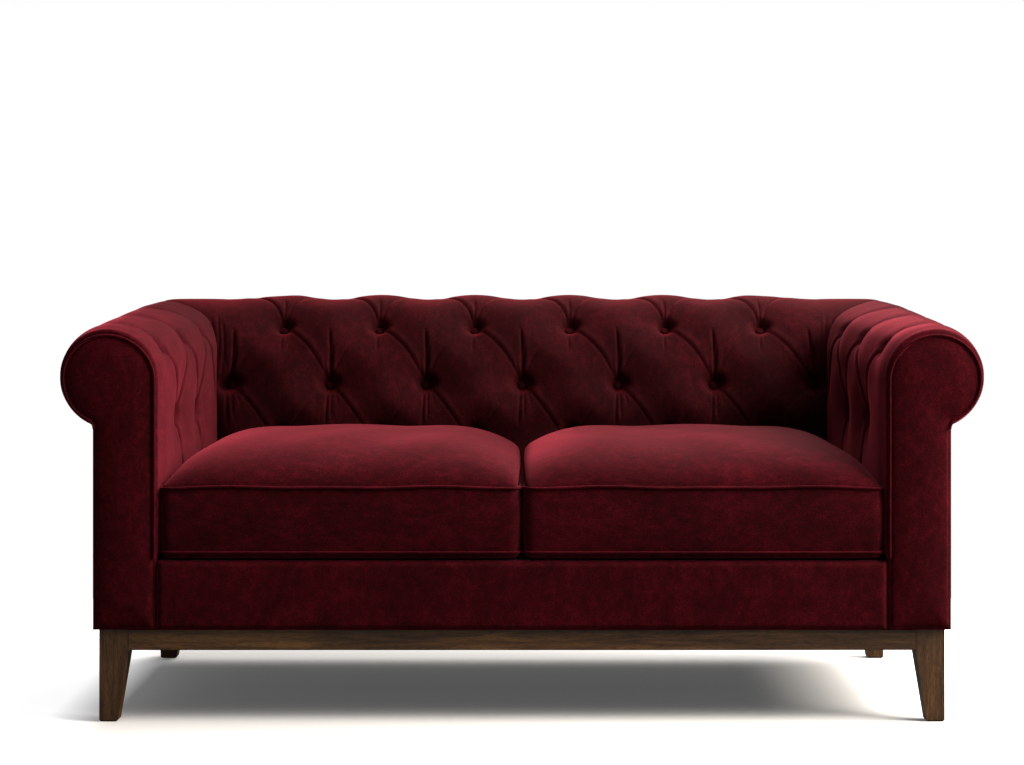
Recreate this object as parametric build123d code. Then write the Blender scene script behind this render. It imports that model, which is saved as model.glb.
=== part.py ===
from build123d import *
import os
from math import cos, hypot, radians, sin, sqrt

# Two-seat rolled-arm sofa with a deep-buttoned back and arms, loose seat cushions and a timber plinth.
# Millimetres, +Z up, the seat faces -Y, origin on the floor under the middle of the sofa.

# Whole sofa
seat_width = 1308.0          # clear width between the two arm facings
arm_width = 114.0            # thickness of an arm below its scroll
body_depth = 755.0           # front of the arm facings to the face of the outside back
back_overhang = 90.0         # how far the back roll stands out behind the outside back
base_height = 165.0          # floor to the underside of the upholstered body

# Plinth and legs
plinth_height = 37.0
plinth_inset = 11.0          # plinth faces stand this far inside the body
plinth_rail_thickness = 18.0
leg_top = 52.0               # square leg at the plinth
leg_foot = 33.0              # square leg at the floor
foot_chamfer = 3.0
plinth_tenon_length = 40.0   # loose tenon, half in the leg and half in the rail
plinth_tenon_height = 22.0
plinth_tenon_thickness = 8.0
plinth_block_leg = 70.0      # short side of a triangular corner block
plinth_block_height = 28.0
plinth_screw_diameter = 6.0
plinth_screw_length = 80.0
plinth_screw_head = 12.0
plinth_screw_head_height = 4.0
plinth_screw_reach = 480.0   # outer screws to the centre line

# Timber frame
rail_thickness = 28.0
seat_rail_height = 110.0
center_rail_width = 50.0
center_rail_height = 85.0
board_thickness = 22.0
post_width = 57.0
post_depth = 52.0
plank_thickness = 24.0       # flat top rails inside the rolls
arm_plank_width = 85.0
back_plank_width = 88.0
back_plank_drop = 29.0       # underside of the back's top rail below the roll centre
side_rail_thickness = 22.0
side_rail_height = 90.0
tack_rail_height = 35.0
tack_rail_thickness = 25.0
tack_rail_lift = 5.0         # gap from the deck up to a tack rail
upright_width = 40.0
upright_depth = 40.0
upright_spread = 170.0       # back uprights from the centre line

# Webbing, deck and linings
strap_width = 60.0
strap_thickness = 3.0
seat_strap_count = 8
seat_strap_pitch = 170.0
cross_strap_count = 3
cross_strap_pitch = 170.0
cross_strap_middle = -80.0
back_strap_count = 6
back_strap_pitch = 215.0
arm_strap_count = 3
arm_strap_pitch = 190.0
arm_strap_middle = -60.0
deck_thickness = 14.0
lining_thickness = 2.0
lining_gap = 2.0

# Arms
roll_radius = 82.0           # outer half of the scroll
scroll_set = 25.0            # scroll centre inside the outside arm
scroll_height = 618.0        # scroll centre above the floor, at the front
arm_rise = 40.0              # the arm climbs this much from its front board to the back post
arm_swell = 28.0             # the inside arm comes this much nearer the seat at the back
arm_pad_depth = 46.0         # facing's inner edge to the timber behind the pad
arm_low_drop = 80.0          # lower tuft row on an arm, below the scroll's centre at the front
shoulder_angle = 145.0       # where the upper tuft row sits on the arm's inner curve
facing_thickness = 14.0
facing_skirt = 8.0           # padding between the front board and the cover
border_thickness = 12.0
border_gap = 0.5
border_drop = 3.0            # border's top edge below the deck
border_round = 5.0
panel_thickness = 6.0        # outside arms and outside back
skirt_gap = 0.3
welt_diameter = 8.0
welt_proud = 5.0

# Back
back_roll_radius = 88.0
back_rise = 57.0             # crest of the back above the arms' front
back_depth = 153.0           # back pad at the seat to the face of the outside back
lumbar_lean = 14.0           # the back leans this much from its foot to its second row
shoulder_lean = 67.0         # and this much from its foot to its first row
low_row_share = 0.39         # rows 3, 2 and 1, as shares of the height from deck to crest
mid_row_share = 0.6255
top_row_share = 0.885
corner_gap = 0.4             # between the back pad and an arm pad at the mitre

# Tufting
tuft_pitch = 198.0
back_half_columns = 6        # half pitches from the middle of the back to its last tuft column
arm_columns = 5              # half pitches along an arm that carry tufts
arm_tuft_set = 12.0          # the arm's columns are moved back by this
tuft_depth = 28.0
crest_dip = 12.0             # pleats over the crest, between the top row's buttons
corner_dip = 18.0            # pull left at the corner seam by the last tuft beside it
crest_row = 4                # the crest's place in the back's outline, counted from its foot
arm_roll_dip = 7.0
arm_pad_swell = 4.0          # pads stand this much prouder between the facing and the corner
face_bow = 11.0              # swell of the cover between two tufts
button_diameter = 22.0
button_height = 13.0
button_shank = 9.5           # cone under the button's rim
button_face = 15.0           # flat of the button's front
button_shank_diameter = 2.0
button_seat = 0.9            # shank's end above the pad

# Seat cushions
cushion_edge = 126.0         # height of the boxing
cushion_crown = 82.0
crown_edge = 4.0             # crown left at the front and rear seams
crown_power = 3.4            # how flat the crown runs from front to rear
crown_fullness = 0.55        # how steeply it leaves the front and rear seams; less is steeper
crown_shoulder = 80.0        # from a side seam to where the crown's steep part ends
shoulder_share = 0.88        # crown reached there
shoulder_bend = 0.8          # share of that reached half way along
cushion_front_set = 9.0      # boxing behind the welts' front
cushion_back_gap = 18.0      # boxing to the back pad
cushion_inner_gap = 9.0      # boxing to the centre line
cushion_front_gap = 9.5      # boxing to the facing at the front
cushion_rear_gap = 14.0      # boxing to the inside arm at the rear
cushion_waist = 4.0          # how far the sides are drawn in
cover_wall = 3.0
core_gap = 0.4
cushion_welt = 7.0
cushion_welt_gap = 0.8
cushion_corner = 14.0        # upright corners of the boxing, rounded
corner_share = 0.3           # a section is taken this far round a corner
body_shares = (0.06, 0.13, 0.3, 0.5, 0.7, 0.87, 0.94)  # sections along the cushion between its corners
lower_welt_lift = 9.0        # lower welt above the cushion's underside
zip_length = 430.0
zip_width = 20.0
zip_lift = 50.0              # zip above the cushion's underside
zip_thickness = 2.4
zip_gap = 0.2
slider_length = 14.0
slider_width = 10.0
slider_body = 3.0
slider_tab_width = 6.0
slider_tab_length = 22.0
slider_tab_thickness = 1.4
slider_stop = 5.0            # slider to the end of the zip
fit_gap = 0.1                # round a tenon or a screw
round_sides = 12             # flats round a button or a screw
welt_sides = 8               # flats round a facing welt
cushion_welt_sides = 6

# Places worked out from those sizes
half_depth = (welt_proud + body_depth + back_overhang) / 2
face_y = welt_proud - half_depth
back_y = face_y + body_depth
back_foot_y = back_y - back_depth
arm_in = seat_width / 2
body_half = arm_in + arm_width
scroll_x = body_half - scroll_set
inner_radius = scroll_x - arm_in
roll_top = scroll_height + roll_radius
back_top = roll_top + back_rise
board_y = face_y + facing_thickness
board_back = board_y + board_thickness
frame_x = body_half - panel_thickness
frame_y = back_y - panel_thickness
post_x = frame_x - post_width
post_y = frame_y - post_depth
leg_x = body_half - plinth_inset
leg_front = face_y + plinth_inset
leg_back = back_y - plinth_inset
plinth_z = base_height - plinth_height
rail_top = base_height + seat_rail_height
border_back = face_y + border_thickness
deck_z = rail_top + 2 * strap_thickness
seat_z = deck_z + deck_thickness
arm_frame_x = arm_in + arm_pad_depth
back_frame_y = post_y
arm_plank_z = scroll_height - plank_thickness / 2
back_roll_y = half_depth - back_roll_radius
back_roll_z = back_top - back_roll_radius
back_plank_z = back_roll_z - back_plank_drop
tack_z = seat_z + tack_rail_lift
roll_out = scroll_x + roll_radius
mitre_slope = (half_depth - back_frame_y) / (roll_out - arm_frame_x)
corner_x = arm_in - arm_swell
corner_y = back_frame_y - (arm_frame_x - corner_x) * mitre_slope
cushion_front = cushion_front_set - half_depth
cushion_rear = back_foot_y - cushion_back_gap
cushion_length = cushion_rear - cushion_front

os.makedirs("parts", exist_ok=True)


def save(name, *solids):
    """Write one named piece, or a group of like pieces, to its own file"""
    shapes = [solid for shape in solids for solid in shape.solids()]
    export_step(shapes[0] if len(shapes) == 1 else Compound(shapes), f"parts/{name}.step")


def save_pair(name, right):
    """Write a piece of the right-hand side and its mirror image on the left"""
    save(f"{name}_right", right)
    save(f"{name}_left", mirror(right, about=Plane.YZ))


def block(low, high):
    """Straight timber or panel between two opposite corners"""
    size = [b - a for a, b in zip(low, high)]
    middle = [(a + b) / 2 for a, b in zip(low, high)]
    return Pos(*middle) * Box(*size)


def arm_lift(y):
    """Height gained by the arm between its front board and a depth y"""
    return arm_rise * (y - board_back) / (post_y - board_back)


# Plinth and legs
def leg(x, y):
    """Square leg, plumb on its two outer faces and tapered on its two inner ones, chamfered at the floor"""
    in_x = -1 if x > 0 else 1
    in_y = -1 if y > 0 else 1

    def level(z, side, trim=0.0):
        cut = [(trim, trim), (side - trim, trim), (side - trim, side - trim), (trim, side - trim)]
        return Wire.make_polygon([(x + in_x * a, y + in_y * b, z) for a, b in cut], close=True)

    taper_share = foot_chamfer / plinth_z
    foot = leg_foot + (leg_top - leg_foot) * taper_share
    foot_wires = [level(0, leg_foot, foot_chamfer), level(foot_chamfer, foot)]
    leg_wires = foot_wires + [level(plinth_z, leg_top), level(base_height, leg_top)]
    return Solid.make_loft(leg_wires, ruled=True)


def plinth():
    """Four legs, four rails tenoned between them, corner blocks and the screws up into the seat frame"""
    rail_x = leg_x - leg_top
    rail_front = leg_front + leg_top
    rail_back = leg_back - leg_top
    inner_x = leg_x - plinth_rail_thickness
    low, high = plinth_z, base_height
    rails = {
        "front": block((-rail_x, leg_front, low), (rail_x, leg_front + plinth_rail_thickness, high)),
        "back": block((-rail_x, leg_back - plinth_rail_thickness, low), (rail_x, leg_back, high)),
        "right": block((inner_x, rail_front, low), (leg_x, rail_back, high)),
        "left": block((-leg_x, rail_front, low), (-inner_x, rail_back, high)),
    }
    legs = {
        "front_right": leg(leg_x, leg_front),
        "front_left": leg(-leg_x, leg_front),
        "rear_right": leg(leg_x, leg_back),
        "rear_left": leg(-leg_x, leg_back),
    }

    tenon_z = plinth_z + plinth_height / 2
    rail_mid = plinth_rail_thickness / 2
    rail_lines = (leg_front + rail_mid, leg_back - rail_mid)
    tenon_places = []
    for side in (-1, 1):
        tenon_places += [((side * rail_x, y, tenon_z), True) for y in rail_lines]
        tenon_places += [((side * (leg_x - rail_mid), y, tenon_z), False) for y in (rail_front, rail_back)]
    tenons = [plinth_tenon(at, along_x, 0) for at, along_x in tenon_places]
    mortises = [plinth_tenon(at, along_x, fit_gap) for at, along_x in tenon_places]

    screw_places = [(x, y) for x in (-plinth_screw_reach, 0, plinth_screw_reach) for y in rail_lines]
    screws = [plinth_screw(x, y, 0) for x, y in screw_places]
    screw_holes = [plinth_screw(x, y, fit_gap) for x, y in screw_places]

    for name, piece in legs.items():
        save(f"leg_{name}", piece - mortises)
    for name, piece in rails.items():
        save(f"plinth_rail_{name}", piece - mortises - screw_holes)
    save("plinth_tenons", *tenons)
    save("plinth_corner_blocks", *plinth_blocks(inner_x))
    save("plinth_screws", *screws)
    return screw_holes


def plinth_tenon(at, along_x, gap):
    """Loose tenon across the joint of a leg and a rail, or its mortise when a gap is given"""
    length, thickness = plinth_tenon_length + 2 * gap, plinth_tenon_thickness + 2 * gap
    size = (length, thickness) if along_x else (thickness, length)
    return Pos(*at) * Box(*size, plinth_tenon_height + 2 * gap)


def many_sided(levels, sides, plane=Plane.XY):
    """Turned piece in flats: regular outlines of the given radius and height, joined by straight sides"""
    wires = [(plane * Pos(0, 0, z) * RegularPolygon(radius, sides)).wire() for radius, z in levels]
    return Solid.make_loft(wires, ruled=True)


def plinth_screw(x, y, gap):
    """Countersunk wood screw driven up through a plinth rail, or its hole when a gap is given"""
    shank, head = plinth_screw_diameter / 2 + gap, plinth_screw_head / 2 + gap
    levels = [(head, 0), (shank, plinth_screw_head_height), (shank, plinth_screw_length + gap)]
    return many_sided(levels, round_sides, Plane(origin=(x, y, plinth_z)))


def plinth_blocks(inner_x):
    """Triangular blocks glued between the rails, close behind each leg"""
    blocks = []
    for side in (-1, 1):
        for y, way in ((leg_front + leg_top, 1), (leg_back - leg_top, -1)):
            x = side * inner_x
            outline = [(x, y), (x - side * plinth_block_leg, y), (x, y + way * plinth_block_leg)]
            face = Face(Wire.make_polygon([(a, b, plinth_z) for a, b in outline], close=True))
            blocks.append(extrude(face, plinth_block_height, dir=(0, 0, 1)))
    return blocks


# Timber frame
def seat_frame(screw_holes):
    """Four seat rails and a centre rail that carry the webbing"""
    low, high = base_height, rail_top
    board_x = arm_in + facing_skirt
    front = block((-board_x, border_back, low), (board_x, border_back + rail_thickness, high))
    back = block((-post_x, frame_y - rail_thickness, low), (post_x, frame_y, high))
    save("seat_rail_front", front - screw_holes)
    save("seat_rail_back", back - screw_holes)
    save_pair("seat_rail", block((frame_x - rail_thickness, board_back, low), (frame_x, post_y, high)))
    center = center_rail_width / 2
    save("seat_rail_center", block((-center, border_back + rail_thickness, high - center_rail_height),
                                   (center, frame_y - rail_thickness, high)))


def sloping_bar(x0, x1, z0, z1):
    """Bar along an arm that climbs with it from the front board to the back post"""
    def end(y):
        lift = arm_lift(y)
        corners = [(x0, z0), (x1, z0), (x1, z1), (x0, z1)]
        return Wire.make_polygon([(x, y, z + lift) for x, z in corners], close=True)

    return Solid.make_loft([end(board_back), end(post_y)], ruled=True)


def scroll_outline(inset):
    """Outline of the arm's front: straight inner side, scroll over the top and under, straight outer side"""
    inner_top = roll_top - inner_radius
    inner = inner_radius - inset
    outer = roll_radius - inset
    side_x = body_half - inset
    under_z = scroll_height - sqrt(outer ** 2 - (side_x - scroll_x) ** 2)
    top = (scroll_x, roll_top - inset)
    start = (arm_in + inset, inner_top)
    half_way = radians(45)
    shoulder = (scroll_x - inner * cos(half_way), inner_top + inner * sin(half_way))
    reach = (scroll_x + outer, scroll_height)
    return start, shoulder, top, reach, (side_x, under_z)


def scroll_face(inset, y):
    """The arm-front outline as a face standing at depth y"""
    outline = scroll_outline(inset)
    feet = (outline[0][0], base_height), (outline[-1][0], base_height)
    start, shoulder, top, reach, under, foot_in, foot_out = [(x, y, z) for x, z in (*outline, *feet)]
    edges = [Edge.make_line(foot_in, start),
             Edge.make_three_point_arc(start, shoulder, top),
             Edge.make_three_point_arc(top, reach, under),
             Edge.make_line(under, foot_out),
             Edge.make_line(foot_out, foot_in)]
    return Face(Wire(edges))


def arm_frame():
    """Scroll-shaped front board, flat top rail, side rail and tack rail of each arm"""
    board = extrude(scroll_face(facing_skirt, board_y), board_thickness, dir=(0, 1, 0))
    save_pair("arm_front_board", board)
    plank_top = arm_plank_z + plank_thickness
    top = sloping_bar(arm_frame_x, arm_frame_x + arm_plank_width, arm_plank_z, plank_top)
    save_pair("arm_top_rail", top)
    side = sloping_bar(frame_x - side_rail_thickness, frame_x, arm_plank_z - side_rail_height, arm_plank_z)
    save_pair("arm_side_rail", side)
    save_pair("arm_tack_rail", block((arm_frame_x, board_back, tack_z),
                                     (arm_frame_x + tack_rail_thickness, post_y, tack_z + tack_rail_height)))


def back_frame():
    """Corner posts, uprights, flat top rail, upper rail and tack rail of the back"""
    plank_top = back_plank_z + plank_thickness
    save_pair("back_post", block((post_x, post_y, base_height), (frame_x, frame_y, plank_top)))
    save("back_top_rail", block((-post_x, back_frame_y, back_plank_z),
                                (post_x, back_frame_y + back_plank_width, plank_top)))
    upper_z = back_plank_z - side_rail_height
    upper_y = frame_y - side_rail_thickness
    save("back_upper_rail", block((-post_x, upper_y, upper_z), (post_x, frame_y, back_plank_z)))
    save("back_tack_rail", block((-post_x, back_frame_y, tack_z),
                                 (post_x, back_frame_y + tack_rail_thickness, tack_z + tack_rail_height)))
    half = upright_width / 2
    foot = tack_z + tack_rail_height
    save("back_uprights", *[block((x - half, frame_y - upright_depth, foot), (x + half, frame_y, upper_z))
                            for x in (-upright_spread, upright_spread)])


# Webbing, deck and linings
def spread(count, pitch, middle=0.0):
    """Evenly spaced places about a middle"""
    return [middle + (i - (count - 1) / 2) * pitch for i in range(count)]


def webbing():
    """Straps over the seat, behind the back pad and behind each arm pad, and the deck over the seat straps"""
    half = strap_width / 2
    start_y = border_back + rail_thickness / 2
    end_y = frame_y - rail_thickness / 2
    end_x = frame_x - rail_thickness / 2
    over = rail_top + strap_thickness
    save("seat_webbing_long", *[block((x - half, start_y, rail_top), (x + half, end_y, over))
                                for x in spread(seat_strap_count, seat_strap_pitch)])
    save("seat_webbing_cross", *[block((-end_x, y - half, over), (end_x, y + half, deck_z))
                                 for y in spread(cross_strap_count, cross_strap_pitch, cross_strap_middle)])
    foot = tack_z + tack_rail_height
    save("back_webbing", *[block((x - half, back_frame_y, foot),
                                 (x + half, back_frame_y + strap_thickness, back_plank_z))
                           for x in spread(back_strap_count, back_strap_pitch)])
    straps = [block((arm_frame_x, y - half, foot),
                    (arm_frame_x + strap_thickness, y + half, arm_plank_z + arm_lift(y - half)))
              for y in spread(arm_strap_count, arm_strap_pitch, arm_strap_middle)]
    save("arm_webbing", *straps, *[mirror(strap, about=Plane.YZ) for strap in straps])


def linings():
    """Padded deck under the cushions and the dust cover under the frame"""
    front = block((-arm_in, border_back, deck_z), (arm_in, board_back, seat_z))
    rest = block((-arm_frame_x, board_back, deck_z), (arm_frame_x, back_frame_y, seat_z))
    save("seat_deck", front + rest)
    x = leg_x - plinth_rail_thickness - lining_gap
    y0 = leg_front + plinth_rail_thickness + lining_gap
    y1 = leg_back - plinth_rail_thickness - lining_gap
    sheet = block((-x, y0, base_height - lining_thickness), (x, y1, base_height))
    notch = leg_top + lining_gap
    for sx in (-1, 1):
        for corner_y_edge, way in ((leg_front, 1), (leg_back, -1)):
            xs = sorted((sx * leg_x, sx * (leg_x - notch)))
            ys = sorted((corner_y_edge, corner_y_edge + way * notch))
            sheet -= block((xs[0], ys[0], plinth_z), (xs[1], ys[1], rail_top))
    save("dust_cover", sheet)


# Tufted pads
def arc_bow(a, b, radius):
    """Rise of a circular arc of the given radius over the chord from a to b"""
    half = hypot(b[0] - a[0], b[1] - a[1]) / 2
    return radius - sqrt(radius ** 2 - half ** 2)


def out_normal(a, b):
    """Unit normal on the outer side of the line from a to b"""
    length = hypot(b[0] - a[0], b[1] - a[1])
    return ((a[1] - b[1]) / length, (b[0] - a[0]) / length)


def pushed_in(points, i, depth):
    """Point i of an outline, pulled in by a button along the mean normal of its two sides"""
    before = out_normal(points[i - 1], points[i])
    after = out_normal(points[i], points[i + 1])
    n = (before[0] + after[0], before[1] + after[1])
    size = hypot(*n)
    return (points[i][0] - n[0] / size * depth, points[i][1] - n[1] / size * depth)


def section_wire(points, bows, place):
    """Closed outline through the points; a side with a bow is an arc that swells by it"""
    edges = []
    for i, a in enumerate(points):
        b = points[(i + 1) % len(points)]
        bow = bows[i] if i < len(bows) else 0
        if bow:
            n = out_normal(a, b)
            middle = ((a[0] + b[0]) / 2 + n[0] * bow, (a[1] + b[1]) / 2 + n[1] * bow)
            edges.append(Edge.make_three_point_arc(place(a), place(middle), place(b)))
        else:
            edges.append(Edge.make_line(place(a), place(b)))
    return Wire(edges)


def back_outline(dips):
    """Section of the back pad: foot, rows 3 to 1 up the inside back, crest, roll and frame side"""
    rise = back_top - seat_z
    rows = [(back_foot_y, seat_z),
            (back_foot_y, seat_z + low_row_share * rise),
            (back_foot_y + lumbar_lean, seat_z + mid_row_share * rise),
            (back_foot_y + shoulder_lean, seat_z + top_row_share * rise),
            (back_roll_y, back_top),
            (half_depth, back_roll_z),
            (back_roll_y, back_roll_z - back_roll_radius)]
    tucked = rows[-1][1]
    front = [pushed_in(rows, i, dips[i]) if dips.get(i) else p for i, p in enumerate(rows)]
    plank_back = back_frame_y + back_plank_width
    plank_top = back_plank_z + plank_thickness
    frame_side = [(frame_y, tucked), (frame_y, back_plank_z), (plank_back, back_plank_z),
                  (plank_back, plank_top), (back_frame_y, plank_top), (back_frame_y, seat_z)]
    roll_bow = arc_bow(rows[4], rows[5], back_roll_radius)
    return front + frame_side, [0, face_bow, face_bow, face_bow, roll_bow, roll_bow], front


def back_columns():
    """Tuft columns across the back, each with the rows that its buttons pull in"""
    lower = {1: tuft_depth, 3: tuft_depth}
    upper = {2: tuft_depth, crest_row: crest_dip}
    steps = range(-back_half_columns, back_half_columns + 1)
    return [(i * tuft_pitch / 2, upper if i % 2 == 0 else lower) for i in steps]


def mitre_y(x):
    """Depth of the corner seam between arm and back at a distance x from the centre line"""
    return corner_y + (x - corner_x) * mitre_slope


def on_mitre(side):
    """Puts a point of the back's section on the corner seam of one side"""
    return lambda p: (side * (corner_x + (p[0] - corner_y) / mitre_slope), p[0], p[1])


def back_pad():
    """Deep-buttoned inside back that rolls over the top rail, mitred to the arms at both ends"""
    points, bows, _ = back_outline({2: corner_dip})
    ends = [section_wire(points, bows, on_mitre(side)) for side in (-1, 1)]
    middle = []
    buttons = []
    for x, dips in back_columns():
        points, bows, front = back_outline(dips)
        middle.append(section_wire(points, bows, lambda p, x=x: (x, p[0], p[1])))
        plain = back_outline({})[2]
        for i in set(dips) - {crest_row}:
            n = out_normal(plain[i - 1], plain[i + 1])
            buttons.append(button((x, front[i][0], front[i][1]), (0, n[0], n[1])))
    save("back_pad", Solid.make_loft([ends[0]] + middle + [ends[1]], ruled=True))
    save("back_buttons", *buttons)


def button(at, normal):
    """Cover-cloth button: drawn to its shank under the rim, with a flat crowned front"""
    levels = [(button_shank_diameter / 2, 0), (button_diameter / 2, button_shank),
              (button_face / 2, button_height)]
    seat = Plane(origin=Vector(*at) + Vector(*normal) * button_seat, z_dir=normal)
    return many_sided(levels, round_sides, seat)


def arm_outline(y, swell, dips):
    """Section of an arm pad at depth y: foot, both tuft rows, crest of the roll, reach and frame side"""
    inner_z = roll_top - inner_radius
    lift = arm_lift(y)
    inside = arm_in - arm_swell * (y - board_back) / (corner_y - board_back)
    angle = radians(shoulder_angle)
    shoulder = (scroll_x + inner_radius * cos(angle), inner_z + inner_radius * sin(angle))
    under = scroll_outline(0)[4]
    rows = [(inside, seat_z),
            (inside - swell, scroll_height - arm_low_drop),
            (shoulder[0] + inside - arm_in - swell, shoulder[1] + lift),
            (scroll_x, roll_top + lift),
            (roll_out, scroll_height + lift),
            (under[0], under[1] + lift)]
    front = [pushed_in(rows, i, dips[i]) if dips.get(i) else p for i, p in enumerate(rows)]
    plank_x = arm_frame_x + arm_plank_width
    low, high = arm_plank_z + lift, arm_plank_z + plank_thickness + lift
    frame_side = [(frame_x, under[1] + lift), (frame_x, low), (plank_x, low), (plank_x, high),
                  (arm_frame_x, high), (arm_frame_x, seat_z)]
    bows = [0, face_bow, arc_bow(rows[2], rows[3], inner_radius + swell),
            arc_bow(rows[3], rows[4], roll_radius), arc_bow(rows[4], rows[5], roll_radius)]
    return front + frame_side, bows, front, rows


def arm_pad():
    """Deep-buttoned inside arm that rolls over the top rail, from the front board back to the corner seam"""
    points, bows, *_ = arm_outline(board_back, 0, {})
    wires = [section_wire(points, bows, lambda p: (p[0], board_back, p[1]))]
    buttons = []
    for i in range(1, arm_columns + 1):
        y = face_y + arm_tuft_set + i * tuft_pitch / 2
        dips = {2: tuft_depth, 3: arm_roll_dip} if i % 2 else {1: tuft_depth}
        points, bows, front, rows = arm_outline(y, arm_pad_swell, dips)
        wires.append(section_wire(points, bows, lambda p, y=y: (p[0], y, p[1])))
        row = 2 if i % 2 else 1
        n = out_normal(rows[row - 1], rows[row + 1])
        buttons.append(button((front[row][0], y, front[row][1]), (n[0], 0, n[1])))

    def at_mitre(p):
        y = mitre_y(p[0]) - corner_gap
        lift = arm_lift(y) - arm_lift(corner_y) if p[1] > seat_z else 0
        return (p[0], y, p[1] + lift)

    points, bows, *_ = arm_outline(corner_y, 0, {})
    wires.append(section_wire(points, bows, at_mitre))
    save_pair("arm_pad", Solid.make_loft(wires, ruled=True))
    save_pair("arm_buttons", Compound(buttons))


# Covers over the frame
def arm_facing():
    """Padded cap over the front board, with a step at its edge where the welt lies"""
    step_y = welt_diameter - half_depth + skirt_gap
    front = extrude(scroll_face(welt_diameter + skirt_gap, face_y), step_y - face_y, dir=(0, 1, 0))
    cap = extrude(scroll_face(0, step_y), board_back - step_y, dir=(0, 1, 0))
    pocket = extrude(scroll_face(facing_skirt - skirt_gap, board_y), board_thickness, dir=(0, 1, 0))
    rail_way = block((arm_in, border_back, base_height), (arm_in + facing_skirt, board_back, seat_z))
    save_pair("arm_facing", front + cap - pocket - rail_way)


def facing_welt():
    """Piping along the facing's edge, from the deck up the inner side and round the scroll"""
    radius = welt_diameter / 2
    y = radius - half_depth
    start, shoulder, top, reach, under = [(p[0], y, p[1]) for p in scroll_outline(radius)]
    foot = (start[0], y, seat_z)
    path = Wire([Edge.make_line(foot, start), Edge.make_three_point_arc(start, shoulder, top),
                 Edge.make_three_point_arc(top, reach, under)])
    section = Plane(origin=foot, z_dir=(0, 0, 1)) * RegularPolygon(radius, welt_sides)
    save_pair("facing_welt", sweep(section, path))


def outer_panels():
    """Front border, outside arms under the rolls and outside back"""
    x = arm_in - border_gap
    border = block((-x, face_y, base_height), (x, border_back, seat_z - border_drop))
    edge = border.edges().filter_by(Axis.X).group_by(Axis.Y)[0].sort_by(Axis.Z)
    save("front_border", fillet(edge, border_round))
    under_z = scroll_outline(0)[4][1]
    corners = [(board_back, base_height), (frame_y, base_height),
               (frame_y, under_z + arm_lift(frame_y)), (board_back, under_z)]
    side = Face(Wire.make_polygon([(frame_x, y, z) for y, z in corners], close=True))
    save_pair("outside_arm", extrude(side, panel_thickness, dir=(1, 0, 0)))
    save("outside_back", block((-body_half, frame_y, base_height),
                               (body_half, back_y, back_roll_z - back_roll_radius)))


# Seat cushions
def cushion_sides(y):
    """Inner and outer side of the right-hand cushion at depth y, drawn in between the corners"""
    t = (y - cushion_front) / cushion_length
    drawn = cushion_waist * 4 * t * (1 - t)
    front_x = arm_in - cushion_front_gap
    rear_x = corner_x - cushion_rear_gap
    return cushion_inner_gap + drawn, front_x + (rear_x - front_x) * t - drawn


def cushion_crown_at(y):
    """Rise of the crown above the top seam at depth y, full in the middle and almost none at the seams"""
    t = (y - cushion_front) / cushion_length
    full = (1 - abs(2 * t - 1) ** crown_power) ** crown_fullness
    return crown_edge + (cushion_crown - crown_edge) * full


def cushion_form(inset):
    """Crowned box cushion with rounded upright corners, shrunk by an inset on every side"""
    start, end = cushion_front + inset, cushion_rear - inset
    corner = cushion_corner
    near = [0, corner_share * corner, corner]
    body = [start + share * (end - start) for share in body_shares]
    depths = [start + a for a in near] + body + [end - a for a in reversed(near)]
    low = seat_z + inset
    seam = seat_z + cushion_edge - inset
    wires = []
    for y in depths:
        edge = min(y - start, end - y, corner)
        cut = inset + corner - sqrt(corner ** 2 - (corner - edge) ** 2)
        inner, outer = cushion_sides(y)
        inner, outer = inner + cut, outer - cut
        wires.append(cushion_section(inner, outer, y, low, seam, cushion_crown_at(y)))
    return Solid.make_loft(wires, ruled=True)


def cushion_section(inner, outer, y, low, seam, crown):
    """Boxing with a flat underside, and a top that rises fast from each seam and then swells gently"""
    rise = crown * shoulder_share
    left, right = (inner + crown_shoulder, y, seam + rise), (outer - crown_shoulder, y, seam + rise)
    up_left = (inner + crown_shoulder / 2, y, seam + rise * shoulder_bend)
    up_right = (outer - crown_shoulder / 2, y, seam + rise * shoulder_bend)
    top = ((inner + outer) / 2, y, seam + crown)
    return Wire([Edge.make_line((inner, y, low), (outer, y, low)),
                 Edge.make_line((outer, y, low), (outer, y, seam)),
                 Edge.make_three_point_arc((outer, y, seam), up_right, right),
                 Edge.make_three_point_arc(right, top, left),
                 Edge.make_three_point_arc(left, up_left, (inner, y, seam)),
                 Edge.make_line((inner, y, seam), (inner, y, low))])


def cushion_welt_loop(z):
    """Piping sewn round the boxing at height z"""
    out = cushion_welt / 2 + cushion_welt_gap
    middle = (cushion_front + cushion_rear) / 2
    front, rear = cushion_front - out, cushion_rear + out
    a, b = cushion_sides(cushion_front), cushion_sides(cushion_rear)
    waist = cushion_sides(middle)
    loop = [(a[0] - out, front), (a[1] + out, front), (waist[1] + out, middle),
            (b[1] + out, rear), (b[0] - out, rear), (waist[0] - out, middle)]
    sharp = cushion_corner + out
    gentle = cushion_length
    path = FilletPolyline(*[(x, y, z) for x, y in loop],
                          radius=[sharp, sharp, gentle, sharp, sharp, gentle], close=True)
    start = Plane(origin=path.position_at(0), z_dir=path.tangent_at(0))
    return sweep(start * RegularPolygon(cushion_welt / 2, cushion_welt_sides), path)


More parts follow.
